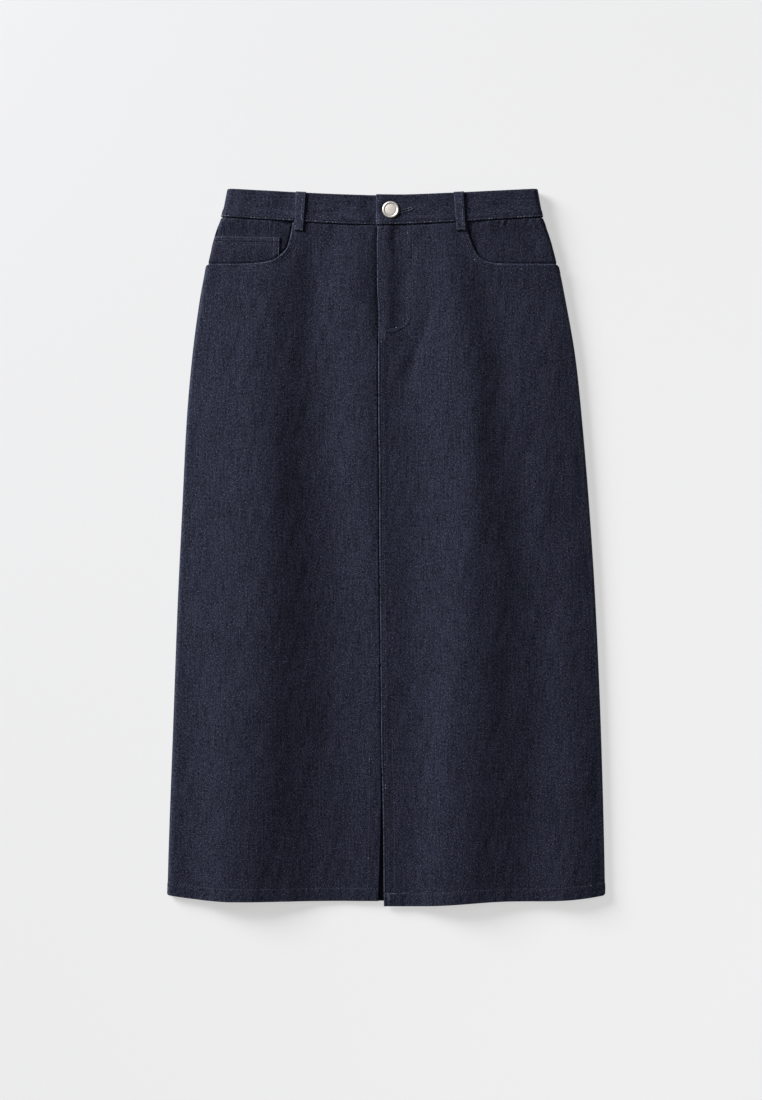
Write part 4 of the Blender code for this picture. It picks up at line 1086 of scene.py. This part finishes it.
def waistband():
    """Once round the waist, from the under end at the middle front to the over end.

    Rows are close together at both edges and along the buttonhole; a stiffened fold with a soft puff
    between its edges.
    """
    end = BAND_DEPTH - SEAM_GAP / 2.0
    slot_rows = np.linspace(BUTTON_DROP - 0.0040, BUTTON_DROP + 0.0030, 21)
    above, below = (0.0052, slot_rows[0] - 0.0008), (slot_rows[-1] + 0.0008, end - 0.0052)
    rows = np.concatenate(
        [NEAR_EDGE[:12], np.linspace(*above, 7), slot_rows, np.linspace(*below, 7), end - NEAR_EDGE[11::-1]]
    )[:, None]
    under_shares = np.linspace(1.0, 0.0, 112)[None, :]
    under = skin(LEFT, rows, share=under_shares, to_x=centre_x(rows) + BAND_LAP)
    under[..., 2] -= band_step(under[..., 0], rows)
    angles = np.linspace(FRONT_ANGLE, BACK_ANGLE, 19)[None, 1:]
    shares = np.linspace(0.0, 1.0, 30)[None, 1:]
    width = flat_reach(RIGHT, rows) - right_front_edge(rows)
    inset = np.concatenate([NEAR_EDGE, np.linspace(0.0126, 0.0460, 30)])
    wide = np.linspace(0.0, 1.0, 74)[None, :-1]
    over_inset = side_by_side(width - wide * (width - 0.0475), inset[None, ::-1] + 0.0 * width)
    over = skin(RIGHT, rows, share=1.0 - over_inset / width, to_x=right_front_edge(rows))
    over[..., 1] += BAND_END_RISE * (1.0 - rows / end) * fade_out(0.004, 0.034, over_inset)
    round_back = [
        skin(LEFT, rows, angles),
        skin(LEFT, rows, BACK_ANGLE, shares),
        skin(RIGHT, rows, BACK_ANGLE, shares[:, -2::-1]),
        skin(RIGHT, rows, angles[:, ::-1]),
    ]
    base = side_by_side(under, *round_back, over)
    x, y = base[..., 0], base[..., 1]
    drop = rows + 0.0 * x
    from_start, from_end = np.full(x.shape, FAR), np.full(x.shape, FAR)
    from_start[:, : under_shares.shape[1]] = (1.0 - under_shares) * 0.2
    from_end[:, -over_inset.shape[1] :] = over_inset
    arc = travelled(base[10])[None, :] + 0.0 * x

    on_the_front = base[..., 2] > FRONT_RISE
    shared = front_relief(x, y) * smoothstep(0.0, FOLD_SETBACK, inside_sides(x, drop)) * on_the_front
    own = -BAND_PUFF * np.sin(math.pi * np.clip((drop - 0.002) / (end - 0.004), 0.0, 1.0)) * on_the_front
    for (top_x, _), dent in zip(FRONT_LOOPS.values(), LOOP_DENTS):
        own -= dent * bump_at(top_x, 0.0075, x) * on_the_front
    own += worn_waves(arc, drop * 0.6, 21, 0.016, BAND_UNEVEN) * on_the_front
    own -= 0.00012 * bump_at(end - 0.0019, 0.0007, drop)
    own -= 0.00016 * bump_at(0.0020, 0.0008, from_end)
    own += (buttonhole_relief(x, y) - button_dish(x, y)) * (from_end < 0.1)
    own += BAND_RIDGE_HEIGHT * bump_at(BAND_RIDGE, 0.0040, drop) * on_the_front
    own *= 1.0 - smoothstep(-0.012, -0.002, x - centre_x(drop)) * (from_start < 0.9)
    fall = np.maximum.reduce(
        [rounded(drop, 0.0011), rounded(end - drop, SEAM_ROUND), rounded(from_end), rounded(from_start)]
    )
    wear_and_light = np.maximum.reduce(
        [
            0.10 * bump_at(0.0, 0.0012, drop),
            0.40 * bump_at(0.0, 0.0009, from_end),
            0.12 * bump_at(0.0, 0.0010, end - drop),
            0.34 * bump_at(0.0006, 0.0034, from_end) * bump_at(BAND_RIDGE, 0.0046, drop),
            0.20 * bump_at(0.0030, 0.0036, from_end) * bump_at(0.0036, 0.0034, drop),
            # The painted key falloff, and a little paler left of the middle.
            PAINTED_KEY_FALLOFF + 0.020 * (x < centre_x(drop)),
        ]
    )
    outside, inside = BAND_PROUD + shared + own - fall, BAND_PROUD + shared - BAND_WALL
    uv = np.stack([drop + 4.0, arc], axis=-1)
    return *shell("denim_waistband", base, outside, inside, uv, [FACE_DENIM], wear_and_light), rows[:, 0]


def belt_loop(name, centres, on_back):
    """A folded strip from the waist's top edge to below the seam: both long edges rounded, a shallow dish
    between its edge rows, bowed a little off the band between its two tacked ends."""
    ends = BAND_DEPTH + LOOP_TAIL + LOOP_TOP_OVER
    body = np.linspace(0.0032, ends - 0.0032, 34)
    travel = np.concatenate([NEAR_EDGE[:9], body, ends - NEAR_EDGE[8::-1]])[:, None]
    across = np.concatenate([NEAR_EDGE[:9], [0.0029, 0.0041, LOOP_WIDTH / 2]])
    across = np.concatenate([across, LOOP_WIDTH - across[-2::-1]])[None, :]
    centre = centres[0] + (centres[1] - centres[0]) * travel / ends
    side_step = (across - LOOP_WIDTH / 2) * (1.04 - 0.11 * travel / ends)
    x = centre + (side_step if on_back else -side_step)
    drop = travel - LOOP_TOP_OVER + 0.0 * x
    z = back_level(drop) if on_back else front_height(x, drop)
    base = np.stack([x, y_at(x, drop), z], axis=-1)
    from_side = np.minimum(across, LOOP_WIDTH - across) + 0.0 * drop
    from_ends = np.minimum(travel, ends - travel) + 0.0 * drop
    off = BAND_PROUD + SEAM_GAP + LOOP_WALL + 0.0 * drop
    relief = -LOOP_DISH * smoothstep(0.0016, 0.0034, from_side)
    relief -= LOOP_GROOVE * bump_at(0.0018, 0.0006, from_side)
    if on_back:
        relief = 0.5 * relief
    else:
        tacked = np.clip((drop - 0.001) / (BAND_DEPTH + 0.001), 0.0, 1.0)
        off = off - BAND_PROUD * smoothstep(BAND_DEPTH - 0.001, BAND_DEPTH + LOOP_TAIL, drop)
        off = off + front_relief(x, base[..., 1]) + LOOP_BOW * np.sin(math.pi * tacked) ** 0.7
        relief += LOOP_FOLD * smoothstep(-0.0010, 0.0002, across - LOOP_WIDTH * 0.53) * (from_side > 0.002)
    fall = np.maximum(rounded(from_side, 0.0010), rounded(from_ends, 0.0010))
    wear_and_light = 0.14 * bump_at(0.0, 0.0008, from_side) + 0.12 * bump_at(0.0, 0.0010, from_ends)
    wear_and_light += 0.18 * smoothstep(0.0020, 0.0038, from_side) * (1.0 - 0.6 * smoothstep(0.028, 0.037, drop))
    uv = np.stack([side_step + centres[0] + 6.0, -drop], axis=-1)
    return shell(name, base, off + relief - fall, off - LOOP_WALL, uv, [LOOP_DENIM], wear_and_light)


# ---- Button ----


def jeans_button():
    """A turned cap: height by radius, a plain dome, a ring-shaped groove crossed by fine radial flutes and a
    rolled rim, then round under it to the shank.  The flutes are 60 cosine waves round the groove."""
    shank = SHANK_RADIUS / CAP_RADIUS
    profile = np.array(
        [
            (0.00, -0.00016), (0.14, -0.00017), (0.30, -0.00021), (0.44, -0.00028), (0.54, -0.00036),
            (0.60, -0.00043), (0.635, -0.00051), (0.67, -0.00056), (0.705, -0.00053), (0.735, -0.00039),
            (0.765, -0.00019), (0.80, -0.00006), (0.85, 0.00), (0.90, -0.00005), (0.945, -0.00024),
            (0.98, -0.00075), (1.00, -0.00130), (0.99, -0.00180), (0.955, -0.00210), (0.90, -0.00220),
            (shank + 0.04, -0.00220), (shank, -0.00235), (shank, -CAP_HEIGHT - BAND_WALL + 0.0002),
            (0.0, -CAP_HEIGHT - BAND_WALL),
        ]
    )
    cloth = float(front_height(np.array(BUTTON_X), np.array(BUTTON_DROP))) + BAND_PROUD
    top = cloth + SEAM_GAP - BUTTON_SINK + CAP_HEIGHT
    out, height = profile[1:-1, 0:1], profile[1:-1, 1:2]
    turns = np.linspace(0.0, 2 * math.pi, 120, endpoint=False)[None, :]
    in_groove = bump_at(0.685, 0.045, out) * (height > -0.0013)
    z = height + top + 0.00012 * in_groove * np.cos(60 * turns)
    radius = out * CAP_RADIUS
    rings = np.stack([BUTTON_X + radius * np.cos(turns), BUTTON_Y + radius * np.sin(turns), z], axis=-1)
    poles = [(BUTTON_X, BUTTON_Y, top + profile[end, 1]) for end in (0, -1)]
    count, around = rings.shape[:2]
    number = np.arange(count * around).reshape(count, around)
    after = np.roll(number, -1, axis=1)
    quads = np.stack([number[:-1], number[1:], after[1:], after[:-1]], axis=-1).reshape(-1, 4)
    crown = np.stack([np.full(around, count * around), number[0], after[0]], axis=-1)
    foot = np.stack([np.full(around, count * around + 1), after[-1], number[-1]], axis=-1)
    vertices = np.concatenate([rings.reshape(-1, 3), np.array(poles)])
    return new_piece("button_cap", vertices, quads.tolist() + crown.tolist() + foot.tolist(), [NICKEL])


# ---- Rows of stitches ----


def row_on_front(side, x, y, **spacing):
    return even_stitches(*on_front(side, x, y), **spacing)


def bartack(start, end, width=0.0013, pitch=0.00042):
    """A dense bar of thread on the right front: stitches straight across it, side by side."""
    start, end = np.array(start), np.array(end)
    length = float(np.hypot(*(end - start)))
    middle = start + np.linspace(0.0, 1.0, round(length / pitch))[:, None] * (end - start)
    ahead = (end - start) / length
    half = 0.5 * width * np.array([-ahead[1], ahead[0]])
    first, normal = on_front(RIGHT, *(middle - half).T)
    last, _ = on_front(RIGHT, *(middle + half).T)
    return first, last, normal


def front_stitching(left, right):
    """Rows on both fronts: pocket mouths, hems, the fly's J in two rows, the seam below it and the slit."""
    rows = {LEFT: [], RIGHT: []}
    for side, (_, outer, normal) in ((LEFT, left), (RIGHT, right)):
        line = mouth_line(side, FINE_MOUTH_STEP)
        line = line[np.abs(line[:, 0]) < MOUTH_ROWS_END[side]][4:]
        for distance in MOUTH_ROWS:
            rows[side].append(row_on_front(side, *beside(line, -side * distance).T, seed=3))
        rows[side].append(even_stitches(outer[HEM_ROW], normal[HEM_ROW], seed=5))
    j_row = smooth_plan(FLY_ROW, 160)
    rows[RIGHT].append(row_on_front(RIGHT, *j_row.T, seed=6))
    rows[RIGHT].append(row_on_front(RIGHT, *beside(j_row, -FLY_ROWS_APART)[:-8].T, seed=7))
    hem = LENGTH - HEM_DEPTH
    for start, end, count, seed in ((0.030, 0.118, 120, 8), (FLY_END + 0.004, hem, 400, 9)):
        down = np.linspace(start, end, count)
        middle = centre_x(down)
        row_y = y_at(middle + 0.002, down, right_front=True)
        rows[RIGHT].append(row_on_front(RIGHT, middle + FLY_EDGE_ROW, row_y, seed=seed))
    slit = np.linspace(SLIT_TOP - 0.004, hem, 120)
    for side in (LEFT, RIGHT):
        x = FRONT_EDGE[side](slit) + side * 0.0125
        rows[side].append(row_on_front(side, x, y_at(x, slit, side == RIGHT), seed=10))
    tack_x = np.linspace(0.0035, 0.0150, 30) + float(right_front_edge(hem))
    tack = row_on_front(RIGHT, tack_x, y_at(tack_x, hem, True) - 0.0002, pitch=0.0026, length=0.0022, seed=15)
    left_thread = sewn("stitching_front_left", rows[LEFT], 0.04, 41)
    right_thread = sewn("stitching_front_right", rows[RIGHT], 0.04, 42)
    bars = joined(
        bartack((-0.0078, 0.2366), (-0.0012, 0.2352)),
        bartack((-0.0012, 0.2352), (-0.0010, 0.2280)),
    )
    right_thread.append(stitches("bartack_fly", *bars, NAVY_THREAD))
    right_thread.append(stitches("tack_hem_slit", *tack, PALE_THREAD, width=0.0007))
    return left_thread, right_thread


def band_stitching(outer, normal, rows):
    """One row along the band's lower edge all round, and one down its over end."""
    wanted = BAND_DEPTH - 0.0014
    row = int(np.searchsorted(rows, wanted)) - 1
    share = (wanted - rows[row]) / (rows[row + 1] - rows[row])
    lower = (grid[row] * (1 - share) + grid[row + 1] * share for grid in (outer, normal))
    end = slice(8, -8), outer.shape[1] - 1 - nearest(NEAR_EDGE, 0.0020)
    sides = [even_stitches(*lower, seed=11), even_stitches(outer[end], normal[end], seed=12)]
    return sewn("stitching_waistband", sides, 0.26, 43, width=0.00062)


def buttonhole_stitching():
    """Thread wound over both lips of the slot, close together, and round its far end."""
    along = np.arange(SLOT_X0 + 0.0060, SLOT_X1, 0.00072)
    middle = SLOT_Y0 + (SLOT_Y1 - SLOT_Y0) * ((along - SLOT_X0) / (SLOT_X1 - SLOT_X0))
    rise = BAND_PROUD + 0.00022
    rows = []
    for lip in (-1, 1):
        inner, normal = on_front(RIGHT, along, middle + lip * 0.00060)
        outer, _ = on_front(RIGHT, along + 0.0003, middle + lip * 0.0019)
        rows.append((inner + normal * rise, outer + normal * (rise - 0.0001), normal))
    fan = np.linspace(-1.2, 1.2, 7)
    inner, normal = on_front(RIGHT, SLOT_X1 - 0.0002 + 0.0003 * np.cos(fan), SLOT_Y1 + 0.0004 * np.sin(fan))
    outer, _ = on_front(RIGHT, SLOT_X1 - 0.0002 + 0.0018 * np.cos(fan), SLOT_Y1 + 0.0019 * np.sin(fan))
    rows.append((inner + normal * BAND_PROUD, outer + normal * BAND_PROUD, normal))
    return sewn("stitching_buttonhole", rows, 0.22, 47, lift=0.00014)


def loop_stitching(name, outer, normal):
    """An edge row down each side of a belt loop and a bartack across each of its ends."""
    rows = [
        even_stitches(outer[6:-6, column], normal[6:-6, column], 13 + column, pitch=0.0029, length=0.0021)
        for column in (9, outer.shape[1] - 8)
    ]
    bars = []
    reach = np.array([0.0, 0.0007, 0.0])
    for place in (0.0018, 0.0410):
        row = nearest(outer[:, 0, 1], outer[0, 0, 1] - place)
        line, raised = outer[row, 4:-4], normal[row, 4:-4]
        knots = np.arange(len(line))
        places = np.linspace(0.0, 1.0, 20) * (len(line) - 1)
        at = blended(line, knots, places)
        bars.append((at - reach, at + reach, blended(raised, knots, places)))
    threads = sewn("stitching_" + name, rows, 0.30, 44 + len(name), lift=0.00016)
    return [*threads, stitches("bartack_" + name, *joined(*bars), NAVY_THREAD, width=0.0005, lift=0.00016)]


def coin_stitching(outer, normal, from_top, from_side):
    """Two rows under the coin pocket's top edge and two down its inner edge, the outer ones more rubbed."""
    threads = []
    for name, down, inwards, worn in (("edge", 0.0014, 0.0014, 0.40), ("inner", 0.0062, 0.0068, 0.08)):
        row, column = nearest(from_top[:, 0], down), nearest(from_side[0], inwards)
        rows = [
            even_stitches(outer[row, 5:], normal[row, 5:], seed=17),
            even_stitches(outer[5:, column], normal[5:, column], seed=18),
        ]
        threads += sewn("stitching_coin_pocket_" + name, rows, worn, 45, lift=0.00018)
    return threads


# ---- Dressing the frame ----


def dress_skirt():
    """Makes every piece and hides the solid that each stands for."""
    left, right = front_panel(LEFT), front_panel(RIGHT)
    back, back_outer, back_normal = back_panel()
    sunk_line = back_outer[HEM_ROW] - 0.00028 * back_normal[HEM_ROW]
    back_row = even_stitches(sunk_line, back_normal[HEM_ROW], seed=19)
    back_thread = stitches("stitching_back", *back_row, NAVY_THREAD, lift=0.00005)
    facing_left, facing_right = pocket_facing(LEFT)[0], pocket_facing(RIGHT)[0]
    coin, *coin_grids = coin_pocket()
    coin_thread = coin_stitching(*coin_grids)
    band, *band_grids = waistband()
    band_thread = band_stitching(*band_grids) + buttonhole_stitching()
    left_thread, right_thread = front_stitching(left, right)

    # piece, node, flat size in metres, area where the cut isn't a rectangle, what it lies on, its sewing
    sheets = [
        (left[0], "front_left", (0.252, 0.746), 0.165, back.name, left_thread),
        (right[0], "front_right", (0.252, 0.746), 0.165, back.name, right_thread),
        (back, "back", (0.490, 0.746), 0.330, "floor", [back_thread]),
        (facing_left, "pocket_facing_left", (0.115, 0.076), None, back.name, []),
        (facing_right, "pocket_facing_right", (0.115, 0.076), None, back.name, []),
        (coin, "coin_pocket", (0.088, 0.049), None, facing_left.name, coin_thread),
        (band, "waistband", (0.738, 0.031), None, "floor", band_thread),
    ]
    for loops, on_back in ((FRONT_LOOPS, False), (BACK_LOOPS, True)):
        for node, centres in loops.items():
            piece, outer, normal = belt_loop("denim_" + node, centres, on_back)
            thread = loop_stitching(node, outer, normal)
            sheets.append((piece, node, (LOOP_WIDTH, 0.044), None, band.name, thread))
    for piece, node, flat, area, below, sewn_on in sheets:
        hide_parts(node)
    cap = jeans_button()
    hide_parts("button")


# ---- Floor, light and camera ----

KEY_ELEVATION, KEY_AZIMUTH, KEY_AWAY = math.radians(23), math.radians(143), 4.8
KEYWARD = (math.cos(KEY_AZIMUTH), math.sin(KEY_AZIMUTH), 0.0)
LENS, SENSOR = 85.0, 36.0  # millimetres
VIEW_HEIGHT = 1.210  # how much of the floor the camera takes in from top to bottom


def placed(name, data, place):
    """A new object in the scene, here."""
    obj = bpy.data.objects.new(name, data)
    bpy.context.scene.collection.objects.link(obj)
    obj.location = place
    return obj


def paper_floor():
    """A pale sweep of matt paper under the skirt, lit from within as well as from above.

    The light from within dims evenly towards the key, so that the two together are even.
    """
    finish, tree, shader = new_finish("matt white paper, seamless roll")
    place = add(tree, "TexCoord", {}, "Object")
    fibre = add(tree, "TexNoise", {"Vector": place, "Scale": 1 / 0.0012, "Detail": 2.0})
    layers = {"Factor": fibre, "A": linear("#adaeb0"), "B": linear("#b1b2b4")}
    towards_key = add(tree, "VectorMath", {0: place, 1: KEYWARD}, "Value", operation="DOT_PRODUCT")
    dimming = {"Value": towards_key, "From Min": -0.6, "From Max": 0.6, "To Min": 0.616, "To Max": 0.424}
    feed(
        tree,
        shader,
        {
            "Base Color": add(tree, "Mix", layers, "Result", data_type="RGBA"),
            "Roughness": 0.9,
            "Specular IOR Level": 0.1,
            "Emission Color": (1.0, 0.992, 0.984, 1.0),
            "Emission Strength": add(tree, "MapRange", dimming),
        },
    )
    size, level = 20.0, -0.0002
    mesh = bpy.data.meshes.new("floor")
    corners = [(-size, -size, level), (size, -size, level), (size, size, level), (-size, size, level)]
    mesh.from_pydata(corners, [], [(0, 1, 2, 3)])
    mesh.materials.append(finish)
    placed("floor", mesh, (0.0, 0.0, 0.0))


def panel_light(name, place, aim, power, size):
    """A square panel lamp at a place, turned to shine at aim.  size is its side in metres."""
    lamp = bpy.data.lights.new(name, "AREA")
    lamp.energy = power
    lamp.size = size
    obj = placed(name, lamp, place)
    obj.rotation_mode = "QUATERNION"
    obj.rotation_quaternion = Vector(np.subtract(aim, place)).to_track_quat("-Z", "Y")


def studio():
    """One broad low key from the upper left, a faint overhead panel for the metal, and little else."""
    flat = math.cos(KEY_ELEVATION) * KEY_AWAY
    key_place = (flat * KEYWARD[0], flat * KEYWARD[1], math.sin(KEY_ELEVATION) * KEY_AWAY)
    panel_light("key", key_place, (0.0, 0.0, 0.0), 397.0, 2.0)
    panel_light("overhead", (0.0, 0.66, 2.4), (0.0, 0.3, 0.0), 6.2, 1.1)
    scene = bpy.context.scene
    scene.world = bpy.data.worlds.new("studio air")
    scene.world.use_nodes = True
    air = scene.world.node_tree
    feed(air, air.nodes["Background"], {"Color": linear("#dfe6f2"), "Strength": 0.06})

    camera = bpy.data.cameras.new("camera")
    camera.lens, camera.sensor_width, camera.clip_end = LENS, SENSOR, 20.0
    bpy.context.scene.camera = placed("camera", camera, (-0.0057, -0.0023, VIEW_HEIGHT * LENS / SENSOR))
    scene.view_settings.view_transform = "Standard"


dress_skirt()
paper_floor()
studio()
